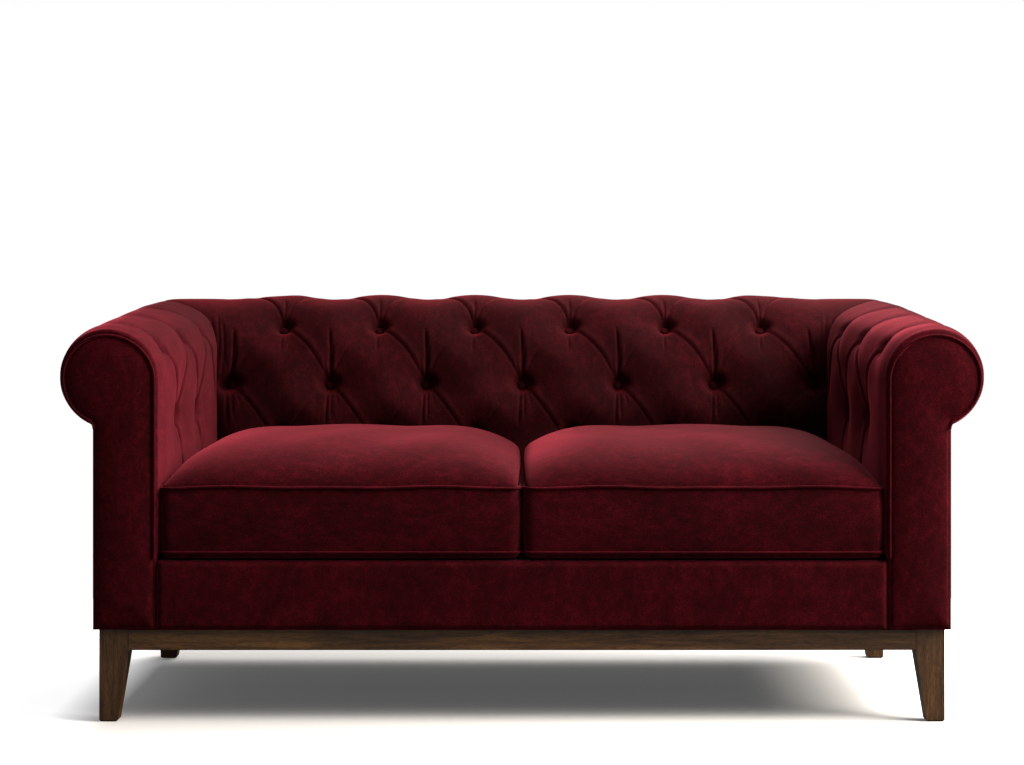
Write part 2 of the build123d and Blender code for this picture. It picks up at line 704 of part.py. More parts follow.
def cushions():
    """Two loose seat cushions: zipped cover, foam core, upper and lower piping, zip and slider"""
    inner, outer = cushion_sides(cushion_rear)
    zip_x = (inner + outer) / 2
    zip_z = seat_z + zip_lift
    half, tall = zip_length / 2, zip_width / 2
    slot = block((zip_x - half, cushion_rear - 2 * cover_wall, zip_z - tall),
                 (zip_x + half, cushion_rear + cover_wall, zip_z + tall))
    save_pair("cushion_cover", cushion_form(0) - cushion_form(cover_wall) - slot)
    save_pair("cushion_core", cushion_form(cover_wall + core_gap))
    upper = cushion_welt_loop(seat_z + cushion_edge)
    lower = cushion_welt_loop(seat_z + lower_welt_lift)
    save_pair("cushion_welts", Compound([upper, lower]))
    half, tall = half - zip_gap, tall - zip_gap
    save_pair("cushion_zip", block((zip_x - half, cushion_rear - zip_thickness, zip_z - tall),
                                   (zip_x + half, cushion_rear, zip_z + tall)))
    x = zip_x - half + slider_stop
    y = cushion_rear + zip_gap
    slider_top = zip_z + slider_width / 2
    body = block((x, y, slider_top - slider_width), (x + slider_length, y + slider_body, slider_top))
    tab_x = x + slider_length / 2
    tab_y = y + slider_body
    tab = block((tab_x - slider_tab_width / 2, tab_y, slider_top - slider_tab_length),
                (tab_x + slider_tab_width / 2, tab_y + slider_tab_thickness, slider_top))
    save_pair("zip_slider", body + tab)


# The whole sofa, from the floor up
frame_screw_holes = plinth()
seat_frame(frame_screw_holes)
arm_frame()
back_frame()
webbing()
linings()
back_pad()
arm_pad()
arm_facing()
facing_welt()
outer_panels()
cushions()
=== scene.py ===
import bpy
import math
import numpy as np
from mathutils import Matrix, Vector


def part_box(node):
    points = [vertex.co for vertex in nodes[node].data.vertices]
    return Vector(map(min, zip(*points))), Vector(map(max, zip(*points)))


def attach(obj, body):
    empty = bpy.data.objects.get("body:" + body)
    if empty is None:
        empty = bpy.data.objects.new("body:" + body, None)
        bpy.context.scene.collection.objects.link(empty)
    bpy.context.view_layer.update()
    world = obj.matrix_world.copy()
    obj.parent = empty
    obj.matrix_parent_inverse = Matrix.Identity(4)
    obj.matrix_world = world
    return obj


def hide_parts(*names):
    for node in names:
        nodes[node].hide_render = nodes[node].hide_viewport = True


# Two-seat rolled-arm sofa in burgundy velvet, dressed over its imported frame, from the floor up.
# Metres; the seat faces -Y, Z is up.
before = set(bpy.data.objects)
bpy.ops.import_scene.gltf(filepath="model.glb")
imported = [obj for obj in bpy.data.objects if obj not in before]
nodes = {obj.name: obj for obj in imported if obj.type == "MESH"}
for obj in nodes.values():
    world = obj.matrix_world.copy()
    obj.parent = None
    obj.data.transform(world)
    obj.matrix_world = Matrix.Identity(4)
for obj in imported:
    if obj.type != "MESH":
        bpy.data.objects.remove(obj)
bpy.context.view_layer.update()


# Legs and plinth
# Four tapered walnut legs whose posts run through the plinth's height, with rails tenoned between them.
# The solids keep their shape; their arrises are eased and the grain runs along each piece.
def colour(code):
    """sRGB hex to the linear colour a shader socket takes"""
    srgb = np.array([int(code[i:i + 2], 16) for i in (1, 3, 5)]) / 255
    linear = np.where(srgb <= 0.04045, srgb / 12.92, ((srgb + 0.055) / 1.055) ** 2.4)
    return (*linear.tolist(), 1.0)


def add(tree, kind, inputs=(), stops=(), **settings):
    """Adds a node; an input is a value or another node's socket, a stop is a ramp's (place, hex colour)"""
    made = tree.nodes.new(kind)
    for name, value in settings.items():
        setattr(made, name, value)
    for key, value in dict(inputs).items():
        if isinstance(value, bpy.types.NodeSocket):
            tree.links.new(value, made.inputs[key])
        else:
            made.inputs[key].default_value = value
    if stops:
        scale = made.color_ramp.elements
        while len(scale) < len(stops):
            scale.new(0.5)
        for element, (place, code) in zip(scale, stops):
            element.position, element.color = place, colour(code)
    return made


def empty_material(name):
    """New node material; returns it, its tree, its shader and its object coordinates"""
    material = bpy.data.materials.new(name)
    material.use_nodes = True
    tree = material.node_tree
    place = add(tree, "ShaderNodeTexCoord").outputs["Object"]
    return material, tree, tree.nodes["Principled BSDF"], place


def timber(name, along, dark, mid, light, rough, coat):
    """Planed wood with a soft gloss: growth bands about 9 mm wide and pores about 0.7 mm wide, drawn out along
    one axis"""
    material, tree, shader, place = empty_material(name)
    stretch = [1.0, 1.0, 1.0]
    stretch["XYZ".index(along)] = 0.07
    lie = add(tree, "ShaderNodeMapping", {"Vector": place, "Scale": stretch}).outputs["Vector"]
    bend = add(tree, "ShaderNodeTexNoise", {"Vector": lie, "Scale": 26.0, "Detail": 3.0, "Distortion": 0.6})
    bands = add(tree, "ShaderNodeTexNoise", {"Vector": lie, "Scale": 110.0, "Detail": 4.0, "Roughness": 0.55,
                                             "Distortion": 1.1})
    pores = add(tree, "ShaderNodeTexNoise", {"Vector": lie, "Scale": 1400.0, "Detail": 2.0})
    mixed = add(tree, "ShaderNodeMix", {"Factor": 0.45, "A": bands.outputs["Fac"], "B": bend.outputs["Fac"]})
    wood = add(tree, "ShaderNodeValToRGB", {"Fac": mixed.outputs["Result"]},
               ((0.34, dark), (0.5, mid), (0.66, light))).outputs["Color"]
    dots = add(tree, "ShaderNodeValToRGB", {"Fac": pores.outputs["Fac"]},
               ((0.36, "#6e6e6e"), (0.5, "#ffffff"))).outputs["Color"]
    tint = add(tree, "ShaderNodeMix", {0: 0.75, 6: wood, 7: dots}, data_type="RGBA", blend_type="MULTIPLY")
    tree.links.new(tint.outputs[2], shader.inputs["Base Color"])
    gloss = add(tree, "ShaderNodeMapRange", {"Value": bands.outputs["Fac"], "To Min": rough - 0.08,
                                             "To Max": rough + 0.1})
    tree.links.new(gloss.outputs["Result"], shader.inputs["Roughness"])
    bump = add(tree, "ShaderNodeBump", {"Height": pores.outputs["Fac"], "Strength": 0.35, "Distance": 0.0004})
    tree.links.new(bump.outputs["Normal"], shader.inputs["Normal"])
    shader.inputs["Coat Weight"].default_value = coat
    shader.inputs["Coat Roughness"].default_value = 0.4
    return material


def dress(material, *names, arris=0.0):
    """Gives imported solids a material, and eases their edges by the arris in metres"""
    for name in names:
        piece = nodes[name]
        piece.data.materials.clear()
        piece.data.materials.append(material)
        if arris:
            weld = piece.modifiers.new("weld", "WELD")
            weld.merge_threshold = 1e-5
            bevel = piece.modifiers.new("arris", "BEVEL")
            bevel.width, bevel.segments, bevel.limit_method = arris, 2, "ANGLE"
            bevel.harden_normals = True


WALNUT = ("#321e0c", "#5c3c1e", "#7e572d")
for axis, names in (("Z", ["leg_front_left", "leg_front_right", "leg_rear_left", "leg_rear_right"]),
                    ("X", ["plinth_rail_front", "plinth_rail_back"]),
                    ("Y", ["plinth_rail_left", "plinth_rail_right"])):
    dress(timber(f"walnut_{axis}", axis, *WALNUT, 0.42, 0.2), *names, arris=0.0015)


# Screws, tenons and corner blocks of the plinth
# Zinc-plated countersunk screws up into the seat frame, loose tenons and glued blocks of beech.
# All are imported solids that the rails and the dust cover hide.
def metal(name, tone, rough):
    """Plated metal with fine brushed scratches about 0.5 mm apart"""
    material, tree, shader, place = empty_material(name)
    lie = add(tree, "ShaderNodeMapping", {"Vector": place, "Scale": (1.0, 1.0, 0.1)}).outputs["Vector"]
    scratches = add(tree, "ShaderNodeTexNoise", {"Vector": lie, "Scale": 2000.0, "Detail": 3.0})
    rough_map = add(tree, "ShaderNodeMapRange", {"Value": scratches.outputs["Fac"], "To Min": rough - 0.08,
                                                 "To Max": rough + 0.12})
    tree.links.new(rough_map.outputs["Result"], shader.inputs["Roughness"])
    bump = add(tree, "ShaderNodeBump", {"Height": scratches.outputs["Fac"], "Strength": 0.2,
                                        "Distance": 0.0002})
    tree.links.new(bump.outputs["Normal"], shader.inputs["Normal"])
    shader.inputs["Base Color"].default_value = colour(tone)
    shader.inputs["Metallic"].default_value = 1.0
    return material


dress(metal("screw_zinc", "#b9b6ae", 0.35), "plinth_screws")
BEECH = ("#8a6238", "#b98a55", "#cda671")
beech = {axis: timber(f"beech_{axis}", axis, *BEECH, 0.62, 0.0) for axis in "XYZ"}
dress(beech["X"], "plinth_tenons", "plinth_corner_blocks")


# Timber frame
# Sawn beech: seat rails and a centre rail, scroll boards and rails of the arms, posts and rails of the back.
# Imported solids, hidden once the covers are on.
dress(beech["X"], "seat_rail_front", "seat_rail_back", "back_top_rail", "back_upper_rail", "back_tack_rail")
dress(beech["Y"], "seat_rail_left", "seat_rail_right", "seat_rail_center", "arm_top_rail_left",
      "arm_top_rail_right", "arm_side_rail_left", "arm_side_rail_right", "arm_tack_rail_left",
      "arm_tack_rail_right")
dress(beech["Z"], "arm_front_board_left", "arm_front_board_right", "back_post_left", "back_post_right",
      "back_uprights")


# Webbing
# Jute-coloured straps, plain woven, stretched over the seat frame and behind the pads.
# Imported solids; the weave is drawn coarser than life, at 6 mm.
def woven(name, low, high, pitch, rough):
    """Plain weave: two crossed waves of the given pitch in metres, on the three planes of the object"""
    material, tree, shader, place = empty_material(name)
    turn = 2 * math.pi / pitch
    axes = add(tree, "ShaderNodeSeparateXYZ", {"Vector": place})
    waves = []
    for axis in "XYZ":
        angle = add(tree, "ShaderNodeMath", {0: axes.outputs[axis], 1: turn}, operation="MULTIPLY")
        waves.append(add(tree, "ShaderNodeMath", {0: angle.outputs[0]}, operation="SINE").outputs[0])
    pair = add(tree, "ShaderNodeMath", {0: waves[0], 1: waves[1]}, operation="ADD").outputs[0]
    cross = add(tree, "ShaderNodeMath", {0: pair, 1: waves[2]}, operation="ADD").outputs[0]
    fibre = add(tree, "ShaderNodeTexNoise", {"Vector": place, "Scale": 900.0, "Detail": 4.0})
    level = add(tree, "ShaderNodeMapRange", {"Value": cross, "From Min": -2.0, "From Max": 2.0})
    both = add(tree, "ShaderNodeMix", {"Factor": 0.4, "A": level.outputs["Result"],
                                       "B": fibre.outputs["Fac"]}).outputs["Result"]
    dyed = add(tree, "ShaderNodeValToRGB", {"Fac": both}, ((0.25, low), (0.75, high))).outputs["Color"]
    tree.links.new(dyed, shader.inputs["Base Color"])
    bump = add(tree, "ShaderNodeBump", {"Height": both, "Strength": 0.6, "Distance": 0.0008})
    tree.links.new(bump.outputs["Normal"], shader.inputs["Normal"])
    shader.inputs["Roughness"].default_value = rough
    shader.inputs["Specular IOR Level"].default_value = 0.2
    return material


dress(woven("strap_weave", "#5c4a33", "#94805c", 0.006, 0.9), "seat_webbing_long", "seat_webbing_cross",
      "back_webbing", "arm_webbing")


# Seat deck
# Thin padded platform over the seat straps, covered in dark lining cloth and hidden by the cushions.
# A slab with rolled edges, narrower in front where it passes between the arm facings.
def grid_faces(rows, columns, closed=False):
    """Quads of a grid of points stored row by row; a closed grid joins its last column to its first"""
    row, column = np.mgrid[0:rows - 1, 0:columns if closed else columns - 1]
    beside = (column + 1) % columns
    corners = (row * columns + column, row * columns + beside, (row + 1) * columns + beside,
               (row + 1) * columns + column)
    return np.stack([c.ravel() for c in corners], axis=1).tolist()


def make(name, points, faces, material, body, slot):
    """Mesh piece in the sofa's frame, smooth shaded, with its finish and the body it rides on"""
    mesh = bpy.data.meshes.new(name)
    mesh.from_pydata(np.asarray(points).reshape(-1, 3).tolist(), [], faces)
    mesh.polygons.foreach_set("use_smooth", np.ones(len(mesh.polygons), bool))
    mesh.materials.append(material)
    mesh.update()
    piece = bpy.data.objects.new(name, mesh)
    bpy.context.scene.collection.objects.link(piece)
    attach(piece, body)
    return piece


def two_sided(upper, lower):
    """Closed pad from an upper and a lower grid of points of one shape, joined round the rim"""
    rows, columns = upper.shape[:2]
    count = rows * columns
    faces = grid_faces(rows, columns)
    faces += [[count + i for i in reversed(face)] for face in faces]
    rim = np.concatenate([np.arange(columns), np.arange(1, rows) * columns + columns - 1,
                          (rows - 1) * columns + np.arange(columns - 2, -1, -1),
                          np.arange(rows - 2, 0, -1) * columns])
    after = np.roll(rim, -1)
    faces += np.stack([rim, rim + count, after + count, after], axis=1).tolist()
    return np.concatenate([upper.reshape(-1, 3), lower.reshape(-1, 3)]), faces


lining = woven("deck_lining", "#16080b", "#2b1015", 0.003, 0.85)
low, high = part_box("seat_deck")
facing_back, front_half, deck_edge = -0.384, 0.653, 0.006
u, v = np.meshgrid(np.linspace(-1, 1, 121), np.linspace(0, 1, 61))
y = low[1] + v * (high[1] - low[1])
half = np.where(y < facing_back, front_half, high[0])
x = u * half
near = np.minimum(half - abs(x), np.minimum(y - low[1], high[1] - y))
drop = deck_edge * (1 - np.sqrt(1 - (1 - np.clip(near / deck_edge, 0, 1)) ** 2))
upper = np.stack([x, y, high[2] - drop], axis=-1)
lower = np.stack([x, y, np.full_like(x, low[2])], axis=-1)
deck = make("deck_pad", *two_sided(upper, lower), lining, "sofa", "platform_cloth")
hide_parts("seat_deck")


# Dust cover
# Thin black lining stapled under the seat frame, notched round the legs.
# One grid without its corner squares, sagging by less than a millimetre and thickened to a cloth.
dust_cloth = woven("dust_cloth", "#0b0b0c", "#1d1d1f", 0.004, 0.9)
low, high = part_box("dust_cover")
notch, droop, cloth = 0.034, 0.0008, 0.0014
xs = np.concatenate([[low[0]], np.linspace(low[0] + notch, high[0] - notch, 40), [high[0]]])
ys = np.concatenate([[low[1]], np.linspace(low[1] + notch, high[1] - notch, 24), [high[1]]])
x, y = np.meshgrid(xs, ys)
width, length = high[0] - low[0], high[1] - low[1]
sag = droop * (1 - (2 * x / width) ** 2) * (1 - ((2 * y - low[1] - high[1]) / length) ** 2)
faces = [f for f in grid_faces(*x.shape)
         if not (f[0] % len(xs) in (0, len(xs) - 2) and f[0] // len(xs) in (0, len(ys) - 2))]
sheet = make("dust_sheet", np.stack([x, y, low[2] - sag], axis=-1), [f[::-1] for f in faces], dust_cloth,
             "sofa", "lining")
thick = sheet.modifiers.new("cloth", "SOLIDIFY")
thick.thickness, thick.offset = cloth, -1.0
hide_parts("dust_cover")


# Back pad
# Deep-buttoned inside back in velvet over fibre and foam, rolled over the top rail and tacked underneath.
# A grid along the section and across the sofa, pulled in by buttons and folded pleats between them.
def velvet(name, nap, dark, mid, light, sheen="#b03c4c"):
    """Cut-pile cotton velvet: dark face on, with a soft sheen at a slant. Brushed patches of about 110 mm and
    mottling of about 13 mm stretch along the nap; the pile is drawn coarser than life, at about 2.4 mm"""
    material, tree, shader, place = empty_material(name)
    lie = add(tree, "ShaderNodeMapping", {"Vector": place, "Scale": nap}).outputs["Vector"]
    brushed = add(tree, "ShaderNodeTexNoise", {"Vector": lie, "Scale": 9.0, "Detail": 5.0, "Roughness": 0.62,
                                               "Distortion": 0.8}).outputs["Fac"]
    mottled = add(tree, "ShaderNodeTexNoise", {"Vector": lie, "Scale": 75.0, "Detail": 7.0,
                                               "Roughness": 0.75}).outputs["Fac"]
    pile = add(tree, "ShaderNodeTexNoise", {"Vector": place, "Scale": 420.0, "Detail": 3.0}).outputs["Fac"]
    soft = add(tree, "ShaderNodeMix", {"Factor": 0.6, "A": brushed, "B": mottled}).outputs["Result"]
    shade = add(tree, "ShaderNodeMix", {"Factor": 0.32, "A": soft, "B": pile}).outputs["Result"]
    dyed = add(tree, "ShaderNodeValToRGB", {"Fac": shade}, ((0.38, dark), (0.5, mid), (0.62, light)))
    tree.links.new(dyed.outputs["Color"], shader.inputs["Base Color"])
    hairs = add(tree, "ShaderNodeMix", {"Factor": 0.5, "A": pile, "B": mottled}).outputs["Result"]
    bump = add(tree, "ShaderNodeBump", {"Height": hairs, "Strength": 0.5, "Distance": 0.0012})
    tree.links.new(bump.outputs["Normal"], shader.inputs["Normal"])
    shader.inputs["Roughness"].default_value = 0.85
    shader.inputs["Specular IOR Level"].default_value = 0.04
    shader.inputs["Sheen Weight"].default_value = 0.6
    shader.inputs["Sheen Roughness"].default_value = 0.4
    shader.inputs["Sheen Tint"].default_value = colour(sheen)
    return material


def smooth_path(points, steps):
    """Curve through the points, a Catmull-Rom spline by chord length, at even steps of its own length"""
    points = np.asarray(points, float)
    chord = np.concatenate([[0], np.cumsum(np.hypot(*np.diff(points, axis=0).T))])
    slope = np.gradient(points, chord, axis=0)
    fine = np.linspace(0, chord[-1], 2000)
    k = np.clip(np.searchsorted(chord, fine, side="right") - 1, 0, len(chord) - 2)
    span = (chord[k + 1] - chord[k])[:, None]
    t = (fine - chord[k])[:, None] / span
    curve = ((2 * t ** 3 - 3 * t ** 2 + 1) * points[k] + (t ** 3 - 2 * t ** 2 + t) * span * slope[k]
             + (3 * t ** 2 - 2 * t ** 3) * points[k + 1] + (t ** 3 - t ** 2) * span * slope[k + 1])
    length = np.concatenate([[0], np.cumsum(np.hypot(*np.diff(curve, axis=0).T))])
    place = np.linspace(0, length[-1], steps)
    return np.stack([np.interp(place, length, c) for c in curve.T], axis=1), place


# In mm: a button's dish and well; the width below which a pleat is a gather, and a fold's width and fading end;
# how far beside the fold its lip lies, and the lip's width
DISH_R, WELL_R = 64, 18
GATHER, FOLD, FADE = 15, 2.4, 20
LIP_PLACE, LIP = 9, 6


def pulled_in(a, b, buttons, pleats):
    """Depth in mm by which buttons and pleats draw a padded cover in at places (a, b) mm on its surface.
    A button is (a, b, depth): a wide dish and a flat-bottomed well. A pleat is (start, end, bow, depth,
    width, lip): a parabola from start to end that bows by a share of its length. Dishes and valleys p join
    as the cube root of the sum of p^3, so that crossing pleats don't add up; the sharp fold along each
    pleat's line and the raised lip beside it are added on top, fading out at both ends. A pleat narrower
    than GATHER is a fold with no valley."""
    cubes = np.zeros_like(a)
    folds = np.zeros_like(a)
    for p, q, depth in buttons:
        r = np.hypot(a - p, b - q)
        cubes += (depth * (0.44 * np.exp(-(r / DISH_R) ** 2) + 0.56 * np.exp(-(r / WELL_R) ** 2.5))) ** 3
    for start, end, bow, depth, width, lip in pleats:
        start, end = np.array(start, float), np.array(end, float)
        run = end - start
        length = np.hypot(*run)
        t = np.linspace(0, 1, 22)[:, None]
        line = start + t * run + 4 * t * (1 - t) * bow * np.array([-run[1], run[0]])
        margin = 3 * width
        low, high = line.min(axis=0) - margin, line.max(axis=0) + margin
        near = (a > low[0]) & (a < high[0]) & (b > low[1]) & (b < high[1])
        spot = np.stack([a[near], b[near]], axis=-1)[:, None, :]
        step = np.diff(line, axis=0)
        along = np.clip(((spot - line[:-1]) * step).sum(-1) / (step ** 2).sum(-1), 0, 1)
        apart = spot - line[:-1] - along[..., None] * step
        gap = np.hypot(apart[..., 0], apart[..., 1])
        best = gap.argmin(axis=1)[:, None]
        d = np.take_along_axis(gap, best, 1)[:, 0]
        place = (best[:, 0] + np.take_along_axis(along, best, 1)[:, 0]) / len(step) * length
        turn = step[best[:, 0]]
        out = np.take_along_axis(apart, best[..., None], 1)[:, 0]
        side = np.sign(turn[:, 0] * out[:, 1] - turn[:, 1] * out[:, 0])
        fade = np.clip(np.minimum(place, length - place) / FADE, 0, 1)
        fold = depth
        if width >= GATHER:
            fold = 0.55 * depth
            valley = depth * (0.35 * np.exp(-d / (0.35 * width)) + 0.65 * np.exp(-(d / width) ** 2))
            cubes[near] += valley ** 3
        raised = lip * np.exp(-((side * d - LIP_PLACE) / LIP) ** 2)
        folds[near] += fade * (fold * np.exp(-(d / FOLD) ** 1.3) - raised)
    return np.cbrt(cubes) + folds


def corner_tuck(b, seam, bend, crest, last):
    """Depth in mm by which the cover is tucked in at a distance from the corner seam, at length b along the
    section: 13 mm up to the bend, 3 mm at the crest, up to 8 mm more outside, none at the last"""
    outside = np.clip((b - crest) / 75, 0, 1) * np.clip((last - b) / 60, 0, 1)
    tuck = 13 - 10 * np.clip((b - bend) / (crest - bend), 0, 1) + 8 * outside
    return tuck * np.clip((last - b) / 25, 0, 1) * np.exp(-seam / (11 + 14 * outside))


# The corner seam in plan, and the pad's section from the deck over the crest to the tacking edge
MITRE_X, MITRE_Y, MITRE_SLOPE = 626.0, 189.6, 1.184
BACK_SECTION = [(182, 295), (181, 390), (180, 475), (178, 531), (190, 590), (213, 648), (243, 704),
                (285, 741), (337, 757), (399, 731), (425, 669), (399, 607), (337, 581)]
BACK_FRAME_SIDE = [(329, 581), (329, 640), (365, 640), (365, 664), (277, 664), (277, 295)]
BUTTON_ROWS = (243, 704), (188, 584), (180, 475)
TUFT, HELD = 198.0, 30
section, up = smooth_path(BACK_SECTION, 320)
tangent = np.gradient(section, up, axis=0)
outward = np.stack([-tangent[:, 1], tangent[:, 0]], axis=1)
row_1, row_2, row_3 = (up[:200][np.hypot(*(section[:200] - place).T).argmin()]
                       for place in BUTTON_ROWS)
crest = up[section[:, 1].argmax()]
wide = [TUFT * i for i in range(-3, 4)]
narrow = [TUFT * (i + 0.5) for i in range(-3, 3)]
button_rows = (narrow, row_1, 36.0), (wide, row_2, 41.0), (narrow, row_3, 30.0)
buttons = [(x, row, deep) for xs, row, deep in button_rows for x in xs]
pleats = []
for x in narrow:
    left, right = x - TUFT / 2, x + TUFT / 2
    pleats += [((x, row_1), (right, row_2), 0.06, 2.8, 15, 1.2),
               ((x, row_1), (left, row_2), -0.1, 2.4, 18, 0.2),
               ((x - 66, crest - 3), (x, row_1), 0.1, 3.6, 16, 1.2),
               ((x + 56, crest - 8), (x, row_1), -0.1, 2.8, 17, 0.4),
               ((left, row_2), (x - 20, row_3), 0.03, 2.6, 15, 1.0),
               ((right, row_2), (x + 12, row_3), -0.05, 2.6, 18, 0.3),
               ((x, row_3), (x, -20), 0.0, 5, 26, 0.6),
               ((x - 1, row_1 + 84), (x - 1, row_1), 0.02, 3.2, 10, 0.4),
               ((x + 22, row_1 + 58), (x + 4, row_1), -0.06, 2.6, 10, 0),
               ((x - 12, row_1 + 46), (x - 4, row_1), 0.04, 1.2, 10, 0),
               ((x - 2, row_1), (x - 3, row_1 - 70), 0.0, 1.8, 10, 0.3),
               ((x + 4, row_1), (x + 8, row_1 - 48), 0.0, 1.2, 10, 0)]
for x in wide:
    pleats += [((x, crest + 30), (x, crest + 270), 0.0, 6, 36, 0.6),
               ((x - 3, row_2 + 122), (x - 2, row_2), 0.02, 4.4, 10, 0.8),
               ((x + 7, row_2 + 84), (x + 3, row_2), -0.02, 2.6, 10, 0),
               ((x - 16, row_2 + 60), (x - 5, row_2), 0.04, 1.4, 10, 0),
               ((x - 3, row_2), (x - 7, row_2 - 96), 0.0, 2.8, 10, 0.6),
               ((x + 4, row_2), (x + 5, row_2 - 84), 0.0, 2.2, 10, 0.4),
               ((x + 9, row_2), (x + 20, row_2 - 56), 0.0, 1.2, 10, 0)]
for way in (-1, 1):
    pleats += [((way * p, row_2 + low), (way * (p + 12), row_1 + high), 0.02 * way, 2.2, 10, 0.4)
               for p, low, high in ((610, 10, 10), (622, 40, 30), (634, 60, 20))]
across = np.linspace(-1, 1, 760)
end = MITRE_X + (section[:, 0] - MITRE_Y) / MITRE_SLOPE
a = across[None, :] * end[:, None]
b = np.broadcast_to(up[:, None], a.shape)
seam = end[:, None] - abs(a)
depth = pulled_in(a, b, buttons, pleats)
hold = 1 - np.exp(-(b / HELD) ** 2)
puff = 5 * np.exp(-((b - crest) / 120) ** 2) * (1 - 1.8 * np.clip((abs(a) - 470) / 150, 0, 1))
scallop = 0.5 + 0.5 * np.cos(2 * math.pi * a / TUFT)
puff -= 9 * scallop * np.exp(-((b - crest) / 55) ** 2) * (abs(a) < 2.5 * TUFT)
depth = depth * hold + corner_tuck(b, seam, row_1, crest, up[-1]) - puff
y = section[:, :1] - outward[:, :1] * depth
z = section[:, 1:] - outward[:, 1:] * depth
x = a + (MITRE_X + (y - MITRE_Y) / MITRE_SLOPE - end[:, None]) * np.sign(a) * abs(across[None, :]) ** 14
front = np.stack([x, y, z], axis=-1)
rest = np.array(BACK_FRAME_SIDE, float)
rest_x = across[None, :] * (MITRE_X + (rest[:, :1] - MITRE_Y) / MITRE_SLOPE)
behind = np.stack([rest_x, *(np.broadcast_to(c, rest_x.shape) for c in (rest[:, :1], rest[:, 1:]))], axis=-1)
loop = np.concatenate([front, behind]).transpose(1, 0, 2)[::-1] / 1000
rows, count = loop.shape[:2]
ends = [list(range(count)), list(range(rows * count - 1, (rows - 1) * count - 1, -1))]
# Painted shade: the inside back takes the same velvet in darker tones than the arms, facings and seat, standing
# in for the shade it sits in
plush = velvet("velvet_upright_painted_shade", (1.0, 1.0, 0.55), "#170204", "#250407", "#39080f", sheen="#b02a38")
back = make("back_pad_cover", loop, grid_faces(rows, count, closed=True) + ends, plush, "sofa", "velvet")
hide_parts("back_pad")


# Buttons of the back
# Wooden moulds covered in the same velvet, drawn down on twine into the pad at every tuft.
# A domed cap turned about the pad's normal, with its rim tucked under.
BUTTON = np.array([(1.5, 5.2), (3.4, 4.9), (5.6, 4.2), (8.0, 2.7), (9.9, 0.7), (10.8, -1.6), (10.4, -3.6),
                   (8.4, -5.2), (5.0, -6.4), (2.0, -6.8)])


def button_caps(places, normals):
    """Points and faces of one cap per place: rings of 28 points round each normal"""
    turn = np.linspace(0, 2 * math.pi, 28, endpoint=False)
    normals = normals / np.linalg.norm(normals, axis=1)[:, None]
    first = np.cross(normals, (0.0, 0.6, 0.8))
    first /= np.linalg.norm(first, axis=1)[:, None]
    second = np.cross(normals, first)
    radial = np.cos(turn)[:, None] * first[:, None, :] + np.sin(turn)[:, None] * second[:, None, :]
    points = (places[:, None, None] + BUTTON[None, :, 0, None, None] * radial[:, None]
              + BUTTON[None, :, 1, None, None] * normals[:, None, None])
    count = len(BUTTON) * len(turn)
    one = [face[::-1] for face in grid_faces(len(BUTTON), len(turn), closed=True)]
    one += [list(range(len(turn))), list(range(count - len(turn), count))[::-1]]
    faces = [[i * count + k for k in face] for i in range(len(places)) for face in one]
    return points.reshape(-1, 3) / 1000, faces


def at_length(place, length, points):
    """Points of a section at places given by their length along it"""
    return np.stack([np.interp(place, length, c) for c in points.T], axis=1)


CAP_STANDS = 4.0
spot = np.array(buttons)
sunk = pulled_in(spot[:, 0], spot[:, 1], buttons, pleats) - CAP_STANDS
centre, normal = at_length(spot[:, 1], up, section), at_length(spot[:, 1], up, outward)
place = np.column_stack([spot[:, 0], centre - normal * sunk[:, None]])
cap_points, cap_faces = button_caps(place, np.column_stack([0 * sunk, normal]))
caps = make("back_button_caps", cap_points, cap_faces, plush, "sofa", "velvet")
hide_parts("back_buttons")


# Arm pads and their buttons
# Inside arms buttoned in two rows, with the cover folded over the roll in pleats and tacked under it.
# A grid along the arm's section and from the facing back to the corner seam; the arm climbs towards the back.
SIDES = (("left", -1), ("right", 1))
FACE_Y, BOARD_BACK, POST_Y = -420.0, -384.0, 277.0
SCROLL_X, INNER_Z, INNER_R, SCROLL_Z, ROLL_R = 743.0, 611.0, 89.0, 618.0, 82.0
ARM_IN, BODY_HALF, SEAT_Z, UNDER_Z = 654.0, 768.0, 295.0, 540.0
ARM_RISE, ARM_SWELL = 40.0, 28.0


def climb(y):
    """Height in mm that the arm has gained at depth y"""
    return ARM_RISE * np.clip((y - BOARD_BACK) / (POST_Y - BOARD_BACK), 0, None)


def sided(points, faces, way):
    """A right-hand piece as it is, or mirrored to the left with its faces turned to stay outward"""
    return points * np.array([way, 1, 1]), faces if way > 0 else [face[::-1] for face in faces]


quarter = np.linspace(math.pi, math.pi / 2, 60)
wrap = np.linspace(math.pi / 2, math.atan2(UNDER_Z - SCROLL_Z, BODY_HALF - SCROLL_X), 100)
arm_line = np.concatenate([
    np.column_stack([np.full(60, ARM_IN), np.linspace(SEAT_Z, INNER_Z, 61)[:-1]]),
    np.column_stack([SCROLL_X + INNER_R * np.cos(quarter), INNER_Z + INNER_R * np.sin(quarter)])[:-1],
    np.column_stack([SCROLL_X + ROLL_R * np.cos(wrap), SCROLL_Z + ROLL_R * np.sin(wrap)])])
arm_section, arm_up = smooth_path(arm_line, 260)
tangent = np.gradient(arm_section, arm_up, axis=0)
arm_out = np.stack([-tangent[:, 1], tangent[:, 0]], axis=1)
shoulder = INNER_Z - SEAT_Z + INNER_R * math.radians(35)
arm_crest = INNER_Z - SEAT_Z + INNER_R * math.pi / 2
lean = 0.5 + 0.5 * np.cos(math.pi * np.clip((arm_up - shoulder) / (arm_crest - shoulder), 0, 1))
RISE_SPAN, LOW_BUTTON_Z, FIRST_BUTTON = 253, 538, 12
raised = np.clip((arm_section[:, 1] - SEAT_Z) / RISE_SPAN, 0, 1)
low_level = LOW_BUTTON_Z - SEAT_Z
upper_row = [(TUFT * i + FIRST_BUTTON, shoulder) for i in (0.5, 1.5, 2.5)]
